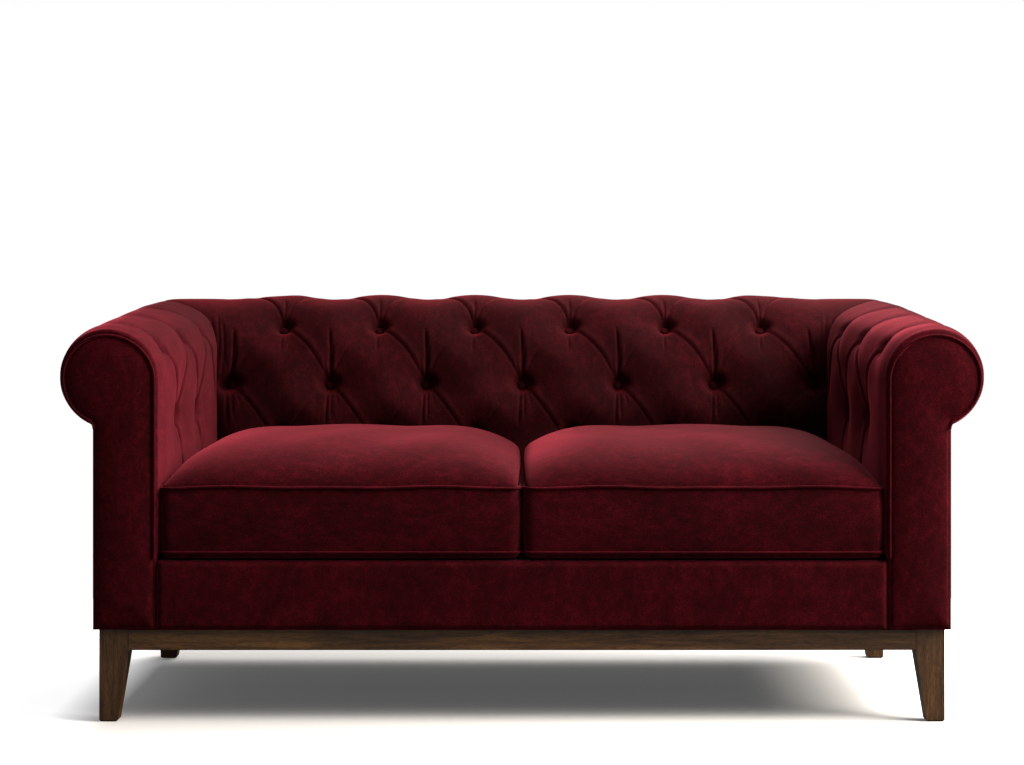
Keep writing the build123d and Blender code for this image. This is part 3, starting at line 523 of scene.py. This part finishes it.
lower_row = [(TUFT * i + FIRST_BUTTON, low_level - 0.95 * climb(FACE_Y + TUFT * i + FIRST_BUTTON))
             for i in (1, 2)]
arm_buttons = [(p, q, 20.0) for p, q in upper_row] + [(p, q, 32.0) for p, q in lower_row]
arm_pleats = []
for p, q in upper_row:
    arm_pleats += [((p, q), (p - 4, q + 330), 0.012, 11, 27, 1.0),
                   ((p - 2, q), (p - 6, q + 200), 0.012, 5.0, 10, 1.2),
                   ((p - 22, q + 80), (p - 2, q), 0.05, 2.4, 10, 0.3),
                   ((p + 14, q + 60), (p + 2, q), -0.04, 1.8, 10, 0)]
for (p, q), (back_p, back_q), (front_p, front_q) in zip(lower_row, upper_row[1:], upper_row):
    arm_pleats += [((back_p, back_q), (p, q), -0.06, 7.0, 24, 1.6),
                   ((front_p, front_q), (p, q), 0.06, 5.0, 24, 0.8),
                   ((p, q), (p + 14, q - 60), 0.08, 6, 20, 1.2),
                   ((p + 14, q - 60), (p + 8, -20), 0.0, 5, 22, 0.8),
                   ((p - 3, q), (p - 16, q - 54), 0.0, 2.0, 10, 0),
                   ((p - 8, q + 60), (p, q), 0.0, 2.0, 10, 0)]
arm_pleats += [(upper_row[2], (upper_row[2][0] + 60, low_level), 0.05, 5, 24, 0.8)]
start, EDGE_R, FRONT_HELD = FACE_Y + 1.5, 6, 40
deep = np.linspace(0, 1, 340)[None, :] ** 1.15
rear_x = arm_section[:, 0] - ARM_SWELL * lean
rear_y = MITRE_Y + (rear_x - MITRE_X) * MITRE_SLOPE
y = start + deep * (rear_y - start)[:, None]
a = y - FACE_Y
b = np.broadcast_to(arm_up[:, None], a.shape)
gain = np.clip((y - BOARD_BACK) / (MITRE_Y - BOARD_BACK), 0, None)
hold = (1 - np.exp(-(b / HELD) ** 2)) * (1 - np.exp(-(a / FRONT_HELD) ** 2))
depth = pulled_in(a, b, arm_buttons, arm_pleats) * hold
seam = rear_y[:, None] - y
edge = EDGE_R * (1 - np.sqrt(1 - (1 - np.clip((y - start) / EDGE_R, 0, 1)) ** 2))
near_back = np.clip(1 - seam / 200, 0, 1)
meeting = 2 * near_back ** 2 * (3 - 2 * near_back)
full_at = [0, shoulder - 70, shoulder, arm_crest, arm_crest + 1.57 * ROLL_R, arm_crest + 2.2 * ROLL_R,
           arm_up[-1]]
full = np.interp(arm_up, full_at, [0, 0, 5, 12, 4, 8.5, 12])
puff = full[:, None] * (1 - 0.7 * np.exp(-((y - start) / 22) ** 2)) * (1 - 0.6 * near_back)
puff = puff + 4 * hold * lean[:, None]
swell = 3 * (1 - np.exp(-(y - start) / 3)) + 3 * (1 - np.exp(-((y - start) / 30) ** 2))
puff += swell * (1 - near_back) * np.clip(b / HELD, 0, 1) * lean[:, None]
depth = depth + corner_tuck(b, seam, shoulder, arm_crest, arm_up[-1]) + edge - puff
x = arm_section[:, :1] - ARM_SWELL * gain * lean[:, None] - arm_out[:, :1] * depth
z = arm_section[:, 1:] + (climb(y) + meeting) * raised[:, None] - arm_out[:, 1:] * depth
y = y + (MITRE_Y + (x - MITRE_X) * MITRE_SLOPE - y) * deep ** 14
front = np.stack([x, y, z], axis=-1)
timber_side = np.array([(762, 540), (762, 606), (785, 606), (785, 630), (700, 630), (700, SEAT_Z)])
side_y = BOARD_BACK + deep * (MITRE_Y + (timber_side[:, :1] - MITRE_X) * MITRE_SLOPE - BOARD_BACK)
side_z = timber_side[:, 1:] + climb(side_y) * (timber_side[:, 1:] > SEAT_Z)
behind = np.stack([np.broadcast_to(timber_side[:, :1], side_y.shape), side_y, side_z], axis=-1)
loop = np.concatenate([front, behind]).transpose(1, 0, 2) / 1000
rows, count = loop.shape[:2]
arm_faces = grid_faces(rows, count, closed=True)
arm_faces += [list(range(count))[::-1], list(range((rows - 1) * count, rows * count))]

ARM_CAP_STANDS = 6.0
spot = np.array(arm_buttons)
sunk = pulled_in(spot[:, 0], spot[:, 1], arm_buttons, arm_pleats) - ARM_CAP_STANDS
centre, normal = at_length(spot[:, 1], arm_up, arm_section), at_length(spot[:, 1], arm_up, arm_out)
spot_y = spot[:, 0] + FACE_Y
spot_x = centre[:, 0] - ARM_SWELL * (spot_y - BOARD_BACK) / (MITRE_Y - BOARD_BACK) - normal[:, 0] * sunk
spot_z = centre[:, 1] + climb(spot_y) * np.interp(spot[:, 1], arm_up, raised) - normal[:, 1] * sunk
cap_points, cap_faces = button_caps(np.column_stack([spot_x, spot_y, spot_z]),
                                    np.column_stack([normal[:, 0], 0 * sunk, normal[:, 1]]))
arm_plush = velvet("velvet_arm", (1.0, 0.7, 0.7), "#260409", "#3b070e", "#540e19")
# Painted shade: the base colour is scaled from 1.15 in front to 0.5 at the back, and the sheen with it, so the
# arm darkens towards the back as if shade fell there
tree, shader = arm_plush.node_tree, arm_plush.node_tree.nodes["Principled BSDF"]
place = add(tree, "ShaderNodeTexCoord").outputs["Object"]
rearward = add(tree, "ShaderNodeSeparateXYZ", {"Vector": place}).outputs["Y"]
painted_rear_shade = add(tree, "ShaderNodeMapRange", {"Value": rearward, "From Min": -0.4, "From Max": 0.2, "To Min": 1.15,
                                         "To Max": 0.5}).outputs["Result"]
plain = shader.inputs["Base Color"].links[0].from_socket
shaded = add(tree, "ShaderNodeVectorMath", {0: plain, "Scale": painted_rear_shade}, operation="SCALE").outputs["Vector"]
tree.links.new(shaded, shader.inputs["Base Color"])
tree.links.new(add(tree, "ShaderNodeMath", {0: painted_rear_shade, 1: 0.68}, operation="MULTIPLY").outputs[0],
               shader.inputs["Sheen Weight"])
for side, way in SIDES:
    arm = make(f"arm_pad_cover_{side}", *sided(loop, arm_faces, way), arm_plush, "sofa", "velvet")
    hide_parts(f"arm_pad_{side}")
    caps = make(f"arm_button_caps_{side}", *sided(cap_points, cap_faces, way), arm_plush, "sofa", "velvet")
    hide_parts(f"arm_buttons_{side}")


# Arm facings
# Plain padded panels over the scroll boards, with a groove inside the edge where the piping is sewn.
# Rings that follow the scroll's outline at growing insets and rise to a shallow dome with a flat middle.
FACING_TOP, FACING_R, FACING_DROP, HOLLOW, PLINTH_Z = 695.5, 80.0, 5, 12, 165


def scroll_ring(inset, foot=None):
    """Outline of the arm's front in mm at an inset: up the inner side, over the top in an arc, under it in a
    slightly taller arc, through the hollow below the roll, down the outer side and along the foot"""
    top, outer = FACING_TOP - INNER_Z - inset, FACING_R - inset
    side_x, mid_z = BODY_HALF - inset, FACING_TOP - FACING_R
    under = math.atan2(-math.sqrt(outer ** 2 - (side_x - SCROLL_X) ** 2), side_x - SCROLL_X)
    over, down = np.linspace(math.pi, math.pi / 2, 41)[:-1], np.linspace(math.pi / 2, under + 0.2, 61)
    low = outer + FACING_DROP
    under_z = mid_z + low * math.sin(under)
    foot = PLINTH_Z + inset if foot is None else foot
    arc = np.column_stack([SCROLL_X + outer * np.cos(down),
                           mid_z + np.where(down > 0, outer, low) * np.sin(down)])
    t = np.linspace(0, 1, 10)[1:, None]
    bend, straight = np.array([side_x, under_z]), np.array([side_x, under_z - HOLLOW])
    hollow = (1 - t) ** 2 * arc[-1] + 2 * t * (1 - t) * bend + t ** 2 * straight
    return np.concatenate([
        np.column_stack([np.full(60, ARM_IN + inset), np.linspace(foot, INNER_Z, 61)[:-1]]),
        np.column_stack([SCROLL_X + (INNER_R - inset) * np.cos(over), INNER_Z + top * np.sin(over)]),
        arc, hollow,
        np.column_stack([np.full(40, side_x), np.linspace(under_z - HOLLOW, foot, 41)[1:]]),
        np.column_stack([np.linspace(side_x, ARM_IN + inset, 17)[1:-1], np.full(15, foot)])])


# Insets and depths: the board's pocket behind, then the outside, the piping's groove and the padded dome
POCKET_INSET, POCKET_DEPTHS = 7.8, (-406.2, -384)
FACING_RINGS = ((0, -384), (0, -411), (0.6, -414), (1.8, -415.6), (5.4, -415.6), (6.4, -416.6), (8.2, -418.4),
                (11, -419.6), (17, -421.0), (28, -422.8), (45, -424.2))
pocket = [np.insert(scroll_ring(POCKET_INSET, PLINTH_Z), 1, y, axis=1) for y in POCKET_DEPTHS]
rings = np.array(pocket + [np.insert(scroll_ring(inset), 1, y, axis=1) for inset, y in FACING_RINGS]) / 1000
count = rings.shape[1]
facing_faces = grid_faces(len(rings), count, closed=True)
facing_faces += [[(len(rings) - 1) * count + i for i in range(count)], list(range(count))[::-1]]
facing_faces = [face[::-1] for face in facing_faces]
panel = velvet("velvet_panel", (1.0, 1.0, 0.7), "#260409", "#3c070e", "#560e19")
for side, way in SIDES:
    facing = make(f"arm_facing_cover_{side}", *sided(rings, facing_faces, way), panel, "sofa", "velvet")
    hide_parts(f"arm_facing_{side}")


# Facing piping
# Velvet-covered cord sewn round each facing, from the deck up the inner side and round the scroll.
# A tube along the scroll's outline; the cover puckers a little between its stitches, 6 mm apart.
def tube(path, radius, closed, sides=12, pucker=0.05, pitch=0.006):
    """Tube round a path of points: rings square to the path, level with the axis that it follows least; the
    radius shrinks by the pucker's share midway between stitches, a pitch apart"""
    path = np.asarray(path, float)
    ahead, before = (np.roll(path, -1, 0), np.roll(path, 1, 0)) if closed else (
        np.concatenate([path[1:], path[-1:]]), np.concatenate([path[:1], path[:-1]]))
    along = ahead - before
    along /= np.linalg.norm(along, axis=1)[:, None]
    axis = np.eye(3)[np.abs(along).max(axis=0).argmin()]
    first = np.cross(along, axis)
    first /= np.linalg.norm(first, axis=1)[:, None]
    second = np.cross(along, first)
    run = np.concatenate([[0], np.cumsum(np.linalg.norm(np.diff(path, axis=0), axis=1))])
    size = radius * (1 - pucker * np.abs(np.sin(math.pi * run / pitch)))[:, None, None]
    turn = np.linspace(0, 2 * math.pi, sides, endpoint=False)[None, :, None]
    points = path[:, None] + size * (np.cos(turn) * first[:, None] + np.sin(turn) * second[:, None])
    rows = np.concatenate([points, points[:1]]) if closed else points
    count = len(path) * sides
    faces = [[i % count for i in face] for face in grid_faces(len(rows), sides, closed=True)]
    if not closed:
        faces += [list(range(sides))[::-1], list(range(count - sides, count))]
    return points.reshape(-1, 3), faces


def even(path, step):
    """The same path with points at an even step along it"""
    run = np.concatenate([[0], np.cumsum(np.linalg.norm(np.diff(path, axis=0), axis=1))])
    place = np.linspace(0, run[-1], int(run[-1] / step) + 2)
    return np.stack([np.interp(place, run, c) for c in path.T], axis=1)


PIPING_INSET, PIPING_Y, PIPED_POINTS, PIPING_R = 3.2, -419.6, 170, 0.0025
ring = scroll_ring(PIPING_INSET)[:PIPED_POINTS]
ring = ring[ring[:, 1] >= SEAT_Z - 4]
piping_path = even(np.insert(ring, 1, PIPING_Y, axis=1) / 1000, 0.0015)
for side, way in SIDES:
    points, faces = tube(piping_path * (way, 1, 1), PIPING_R, False)
    piping = make(f"facing_piping_{side}", points, faces, panel, "sofa", "velvet")
    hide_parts(f"facing_welt_{side}")


# Front border, outside arms and outside back
# Plain velvet panels over the frame, lightly padded, pulled tight and turned in at their edges.
# Grids whose rim rolls back, with a slight swell and the faint ripples that tacking leaves.
def panel_grid(width, height, edge, swell, columns, rows, seed):
    """Face of a pulled-tight panel: u, v and height in mm, swelling to the middle and rounded at the edge.
    Ripples are four waves of 60 to 140 mm that fade towards the middle."""
    u, v = np.meshgrid(np.linspace(0, width, columns), np.linspace(0, height, rows))
    near = np.minimum(np.minimum(u, width - u), np.minimum(v, height - v))
    rim = edge * (np.sqrt(1 - (1 - np.clip(near / edge, 0, 1)) ** 2) - 1)
    rise = swell * np.clip(near / (0.5 * min(width, height)), 0, 1) ** 0.6
    chance = np.random.default_rng(seed)
    ripple = sum(np.sin(2 * math.pi * u / chance.uniform(60, 140) + chance.uniform(0, 6)) for _ in range(4))
    return u, v, rim + rise + 0.16 * ripple * np.exp(-near / 30)


def backed(face, axis, back):
    """A panel's face closed with a flat back, which lies at one place on the axis in metres"""
    behind = face.copy()
    behind[..., axis] = back
    return two_sided(face, behind)


BORDER_WIDTH, BORDER_TALL = 1307, 124
u, v, rise = panel_grid(BORDER_WIDTH, BORDER_TALL, edge=11, swell=1.5, columns=400, rows=60, seed=3)
upper = np.stack([u - BORDER_WIDTH / 2, FACE_Y - rise, v + PLINTH_Z], axis=-1) / 1000
border = make("front_border_cover", *backed(upper, 1, -0.408), panel, "sofa", "velvet")
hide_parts("front_border")

SIDE_LONG, SIDE_TALL = 713, 376
for side, way in SIDES:
    u, v, rise = panel_grid(SIDE_LONG, SIDE_TALL, edge=3, swell=0.8, columns=180, rows=90, seed=5)
    tall = (UNDER_Z - PLINTH_Z + climb(u + BOARD_BACK)) / SIDE_TALL
    upper = np.stack([BODY_HALF + rise - 1, u + BOARD_BACK, PLINTH_Z + v * tall], axis=-1) / 1000
    covered = sided(*backed(upper, 0, 0.762), way)
    outer = make(f"outside_arm_cover_{side}", *covered, panel, "sofa", "velvet")
    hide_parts(f"outside_arm_{side}")

REAR_TALL, REAR_FACE = 416, 334
u, v, rise = panel_grid(2 * BODY_HALF, REAR_TALL, edge=3, swell=1.0, columns=380, rows=100, seed=8)
upper = np.stack([BODY_HALF - u, REAR_FACE + rise, v + PLINTH_Z], axis=-1) / 1000
outer = make("outside_back_cover", *backed(upper, 1, 0.329), panel, "sofa", "velvet")
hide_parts("outside_back")


# Seat cushions
# Loose box cushions: a crowned top and a flat underside joined by a boxing band, foam inside, velvet outside.
# Rings round each cushion from the middle of the top over the seams to the middle of the underside.
SEAT_FRONT, SEAT_REAR, CORNER_R = -416.0, 164.0, 20
CUSHION_CORNERS = ((5.0, SEAT_FRONT), (645.0, SEAT_FRONT), (612.0, SEAT_REAR), (5.0, SEAT_REAR))
DRAWN_IN = (-1, 2, 2, 0)
SEAM_Z, LOW_SEAM_Z, CROWN, UNDERSIDE_Z = 420.5, 304.0, 87.5, 296


def cushion_loop(out):
    """Seam in plan, in mm, grown by out: each side is a parabola, drawn in by DRAWN_IN midway, between two
    rounded corners, which are quadratic curves"""
    corners = np.array(CUSHION_CORNERS) + np.array(((-1, -1), (1, -1), (1, 1), (-1, 1))) * out
    pieces = []
    for i, corner in enumerate(corners):
        back_way, on_way = corners[i - 1] - corner, corners[(i + 1) % 4] - corner
        a = corner + back_way / np.linalg.norm(back_way) * (CORNER_R + out)
        b = corner + on_way / np.linalg.norm(on_way) * (CORNER_R + out)
        t = np.linspace(0, 1, 14)[:, None]
        pieces.append((1 - t) ** 2 * a + 2 * t * (1 - t) * corner + t ** 2 * b)
        stop = corners[(i + 1) % 4] - on_way / np.linalg.norm(on_way) * (CORNER_R + out)
        t = np.linspace(0, 1, 110)[1:-1, None]
        inward = np.array([-on_way[1], on_way[0]]) / np.linalg.norm(on_way)
        pieces.append(b + t * (stop - b) + 4 * t * (1 - t) * DRAWN_IN[i] * inward)
    return np.concatenate(pieces)


def seam_sag(plan):
    """Unevenness in mm of the top seam at a place in plan: two waves of about 350 and 190 mm"""
    x, y = plan[..., 0], plan[..., 1]
    return 1.2 * np.sin((x + y) / 55) + 0.8 * np.sin((x - 0.6 * y) / 31 + 1.3)


seam_line = cushion_loop(0.0)
middle = np.array([318.0, -126.0])
spread = 1 - np.linspace(1, 0, 56) ** 1.8
top_plan = middle + spread[:, None, None] * (seam_line - middle)
# Places on the top from -1 to 1: from front to rear, and from the neighbour's side to the arm's
INNER_X, OUTER_X, OUTER_TAPER = 9, 644.5, 32.5
seat_depth = SEAT_REAR - SEAT_FRONT
depth_v = np.clip((top_plan[..., 1] - middle[1]) / (seat_depth / 2), -1, 1)
outer_x = OUTER_X - OUTER_TAPER * (top_plan[..., 1] - SEAT_FRONT) / seat_depth
across_u = np.clip((2 * top_plan[..., 0] - outer_x - INNER_X) / (outer_x - INNER_X), -1, 1)
to_arm = np.sqrt(1 - abs(across_u) ** 4.4)
to_neighbour = 0.42 * np.sqrt(1 - abs(across_u) ** 80) + 0.58 * (1 - abs(across_u) ** 5.3)
crown = CROWN * np.where(across_u > 0, to_arm, to_neighbour) * (1 - abs(depth_v) ** 3.4) ** 0.55
crown *= 1 + 0.06 * depth_v
chance = np.random.default_rng(11)
soft = sum(np.sin(top_plan @ (chance.uniform(-1, 1, 2) * 0.035) + chance.uniform(0, 6)) for _ in range(7))
crown += 0.7 * soft * (1 - spread[:, None] ** 6)
share = np.clip(crown / CROWN, 0, 1)
sag = seam_sag(top_plan) * spread[:, None] ** 8
# The crown leans over the seam towards the neighbour, short of touching it
LEAN_OVER, CLEAR = 36, 1.0
top_plan[..., 0] -= LEAN_OVER * share * (1 - share) * np.clip(-2 * across_u - 0.6, 0, 1)
top_plan[..., 0] = np.maximum(top_plan[..., 0], CLEAR)
top = np.concatenate([top_plan, (SEAM_Z + crown + sag)[..., None]], axis=-1)
girth = np.linspace(0, 1, 22)[1:]
BULGE, ZIP_X, ZIP_HALF, ZIP_Z, ZIP_BED = 4.0, 310, 240, 345, 161.0
bulge = BULGE * (4 * girth * (1 - girth)) ** 0.8
heights = SEAM_Z + (LOW_SEAM_Z - SEAM_Z) * girth
boxing = np.array([np.column_stack([cushion_loop(out), np.full(len(seam_line), z)])
                   for z, out in zip(heights, bulge)])
boxing[..., 2] += seam_sag(boxing) * (1 - girth)[:, None]
zip_well = np.clip((26 - abs(boxing[..., 2] - ZIP_Z)) / 10, 0, 1)
at_rear = np.clip((boxing[..., 1] - 140) / 18, 0, 1)
at_rear *= np.clip((ZIP_HALF - abs(boxing[..., 0] - ZIP_X)) / 12, 0, 1)
boxing[..., 1] -= at_rear * zip_well * (boxing[..., 1] - ZIP_BED)
turn_in = np.array([np.column_stack([cushion_loop(-i), np.full(len(seam_line), z)])
                    for i, z in ((0.6, 300), (2, 297.5), (5, UNDERSIDE_Z), (11, UNDERSIDE_Z))])
turn_in[:3, :, 2] -= np.array([[1.5], [2.5], [2.5]]) * np.clip((-400 - turn_in[:3, :, 1]) / 10, 0, 1)
under = np.concatenate([middle + (1 - np.linspace(0, 1, 14)[1:, None, None]) * (cushion_loop(-11.0) - middle),
                        np.full((13, len(seam_line), 1), float(UNDERSIDE_Z))], axis=-1)
shell = np.concatenate([top[1:], boxing, turn_in, under[:-1]]) / 1000
rows, count = shell.shape[:2]
points = np.concatenate([shell.reshape(-1, 3), [top[0, 0] / 1000], [under[-1, 0] / 1000]])
cushion_faces = grid_faces(rows, count, closed=True)
beside = np.roll(np.arange(count), -1)
cushion_faces += [[rows * count, b, a] for a, b in zip(range(count), beside.tolist())]
cushion_faces += [[rows * count + 1, (rows - 1) * count + a, (rows - 1) * count + b]
                  for a, b in zip(range(count), beside.tolist())]
cushion_faces = [face[::-1] for face in cushion_faces]
seat_plush = velvet("velvet_seat", (0.6, 1.0, 1.0), "#240409", "#39070d", "#520d18")
for side, way in SIDES:
    shaped = sided(points, cushion_faces, way)
    cushion = make(f"cushion_{side}_cover", *shaped, seat_plush, f"cushion_{side}", "velvet")
    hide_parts(f"cushion_cover_{side}", f"cushion_core_{side}")


# Cushion piping
# Two velvet-covered cords sewn into the seams round each cushion.
# Tubes along the seams, the upper one uneven like its seam, both puckered between the stitches.
WELT_OUT, WELT_R = 2.2, 0.0027
welt_line = cushion_loop(WELT_OUT)
welt_line = np.vstack([welt_line, welt_line[:1]])
loops = [even(np.column_stack([welt_line, z]) / 1000, 0.002)[:-1]
         for z in (SEAM_Z - 0.5 + seam_sag(welt_line), np.full(len(welt_line), LOW_SEAM_Z))]
for side, way in SIDES:
    tubes = [tube(path * (way, 1, 1), WELT_R, True, sides=10) for path in loops]
    ahead = len(tubes[0][0])
    faces = tubes[0][1] + [[ahead + i for i in face] for face in tubes[1][1]]
    piping = make(f"cushion_{side}_piping", np.concatenate([tubes[0][0], tubes[1][0]]), faces, seat_plush,
                  f"cushion_{side}", "velvet")
    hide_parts(f"cushion_welts_{side}")


# Zips
# Woven tape in the rear boxing of each cushion, nylon teeth along its middle, and a small metal slider.
# Boxes from a table of corners: the tape, then a tooth every 3 mm from alternate sides.
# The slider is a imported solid.
TEETH_PITCH, TOOTH, TEETH_SHIFT, TAPE = 0.003, (0.0017, 0.0014, 0.0056), 0.0009, 0.001
CORNERS = np.array([(i, j, k) for i in (0, 1) for j in (0, 1) for k in (0, 1)], float)
BOX_FACES = np.array(((0, 1, 3, 2), (4, 6, 7, 5), (0, 4, 5, 1), (2, 3, 7, 6), (0, 2, 6, 4), (1, 5, 7, 3)))
zip_weave = woven("zip_weave", "#1c070b", "#3a0f17", 0.002, 0.8)
for side, way in SIDES:
    low, high = np.array(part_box(f"cushion_zip_{side}"))
    tape = low + CORNERS * ((high - low) * (1, 0, 1) + (0, TAPE, 0))
    along = np.arange(low[0] + TEETH_PITCH, high[0] - TEETH_PITCH, TEETH_PITCH)
    shift = TEETH_SHIFT * (-1.0) ** np.arange(len(along))
    starts = np.column_stack([along, np.full(len(along), low[1] + TAPE),
                              (low[2] + high[2] - TOOTH[2]) / 2 + shift])
    teeth = starts[:, None] + CORNERS * TOOTH
    faces = (BOX_FACES + 8 * np.arange(len(along) + 1)[:, None, None]).reshape(-1, 4).tolist()
    points = np.concatenate([tape, teeth.reshape(-1, 3)])
    tape_and_coil = make(f"cushion_{side}_zip", points, faces, zip_weave, f"cushion_{side}", "zip_tape")
    tape_and_coil.data.polygons.foreach_set("use_smooth", np.zeros(len(faces), bool))
    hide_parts(f"cushion_zip_{side}")
dress(metal("zip_brass", "#a98c52", 0.3), "zip_slider_left", "zip_slider_right", arris=0.0004)


# Stage
# Pale floor that meets a white surround, soft studio light from overhead and from the right,
# and the camera of the photograph.
def light(name, place, aim, size, power, tint):
    """Soft rectangular lamp at a place, turned towards an aim"""
    lamp = bpy.data.lights.new(name, "AREA")
    lamp.shape, lamp.size, lamp.size_y, lamp.energy = "RECTANGLE", *size, power
    lamp.color = colour(tint)[:3]
    made = bpy.data.objects.new(name, lamp)
    way = np.subtract(aim, place)
    made.location = place
    tilt, heading = math.atan2(math.hypot(way[0], way[1]), -way[2]), math.atan2(way[0], -way[1])
    made.rotation_euler = (tilt, 0, heading + math.pi)
    bpy.context.scene.collection.objects.link(made)


floor_paint, tree, shader, place = empty_material("floor_paint")
seen = add(tree, "ShaderNodeLightPath").outputs["Is Camera Ray"]
paint = add(tree, "ShaderNodeValToRGB", {"Fac": seen}, ((0.0, "#5a5a5a"), (1.0, "#fbfbfa")))
tree.links.new(paint.outputs["Color"], shader.inputs["Base Color"])
shader.inputs["Roughness"].default_value = 0.7
shader.inputs["Emission Color"].default_value = (1, 1, 1, 1)
beside = add(tree, "ShaderNodeSeparateXYZ", {"Vector": place}).outputs["X"]
beside = add(tree, "ShaderNodeMath", {0: beside}, operation="ABSOLUTE").outputs[0]
# Painted light: the floor glows to the camera, white beside the sofa so that cast shadows there wash out, and
# dimly in its shade, which sets the grey of the shadow under it
painted_floor_glow = add(tree, "ShaderNodeMapRange", {"Value": beside, "From Min": 0.74, "From Max": 0.86, "To Min": 0.075,
                                         "To Max": 0.85}).outputs["Result"]
glow = add(tree, "ShaderNodeMath", {0: seen, 1: painted_floor_glow}, operation="MULTIPLY")
tree.links.new(glow.outputs[0], shader.inputs["Emission Strength"])
shader.inputs["Specular IOR Level"].default_value = 0.1
ground = bpy.data.meshes.new("floor")
HALF_FLOOR, FLOOR_FRONT, FLOOR_REAR = 2.6, -2.4, 1.2
ground.from_pydata([(-HALF_FLOOR, FLOOR_FRONT, 0), (HALF_FLOOR, FLOOR_FRONT, 0), (HALF_FLOOR, FLOOR_REAR, 0),
                    (-HALF_FLOOR, FLOOR_REAR, 0)], [], [(0, 1, 2, 3)])
ground.materials.append(floor_paint)
floor = bpy.data.objects.new("floor", ground)
bpy.context.scene.collection.objects.link(floor)

world = bpy.data.worlds.new("surround")
bpy.context.scene.world = world
world.use_nodes = True
tree = world.node_tree
seen = add(tree, "ShaderNodeLightPath").outputs["Is Camera Ray"]
strength = add(tree, "ShaderNodeMapRange", {"Value": seen, "To Min": 0.2, "To Max": 1.0})
sky = tree.nodes["Background"]
sky.inputs["Color"].default_value = (1, 1, 1, 1)
tree.links.new(strength.outputs["Result"], sky.inputs["Strength"])

light("overhead", (1.5, 0.9, 3.0), (0.3, 0.2, 0), (5.0, 2.4), 212, "#fffaf4")
light("key", (3.5, -0.9, 2.6), (-0.3, 0, 0.5), (3.0, 2.4), 420, "#fff6ec")

lens = bpy.data.cameras.new("camera")
PICTURE_WIDTH = 1024
lens.lens, lens.sensor_width = 80.72, 36.0
lens.shift_x, lens.shift_y = -10 / PICTURE_WIDTH, -97.5 / PICTURE_WIDTH
camera = bpy.data.objects.new("camera", lens)
camera.location = (0, -4.52, 0.782)
camera.rotation_euler = (math.pi / 2, 0, 0)
bpy.context.scene.collection.objects.link(camera)
bpy.context.scene.camera = camera
bpy.context.scene.view_settings.view_transform = "Standard"
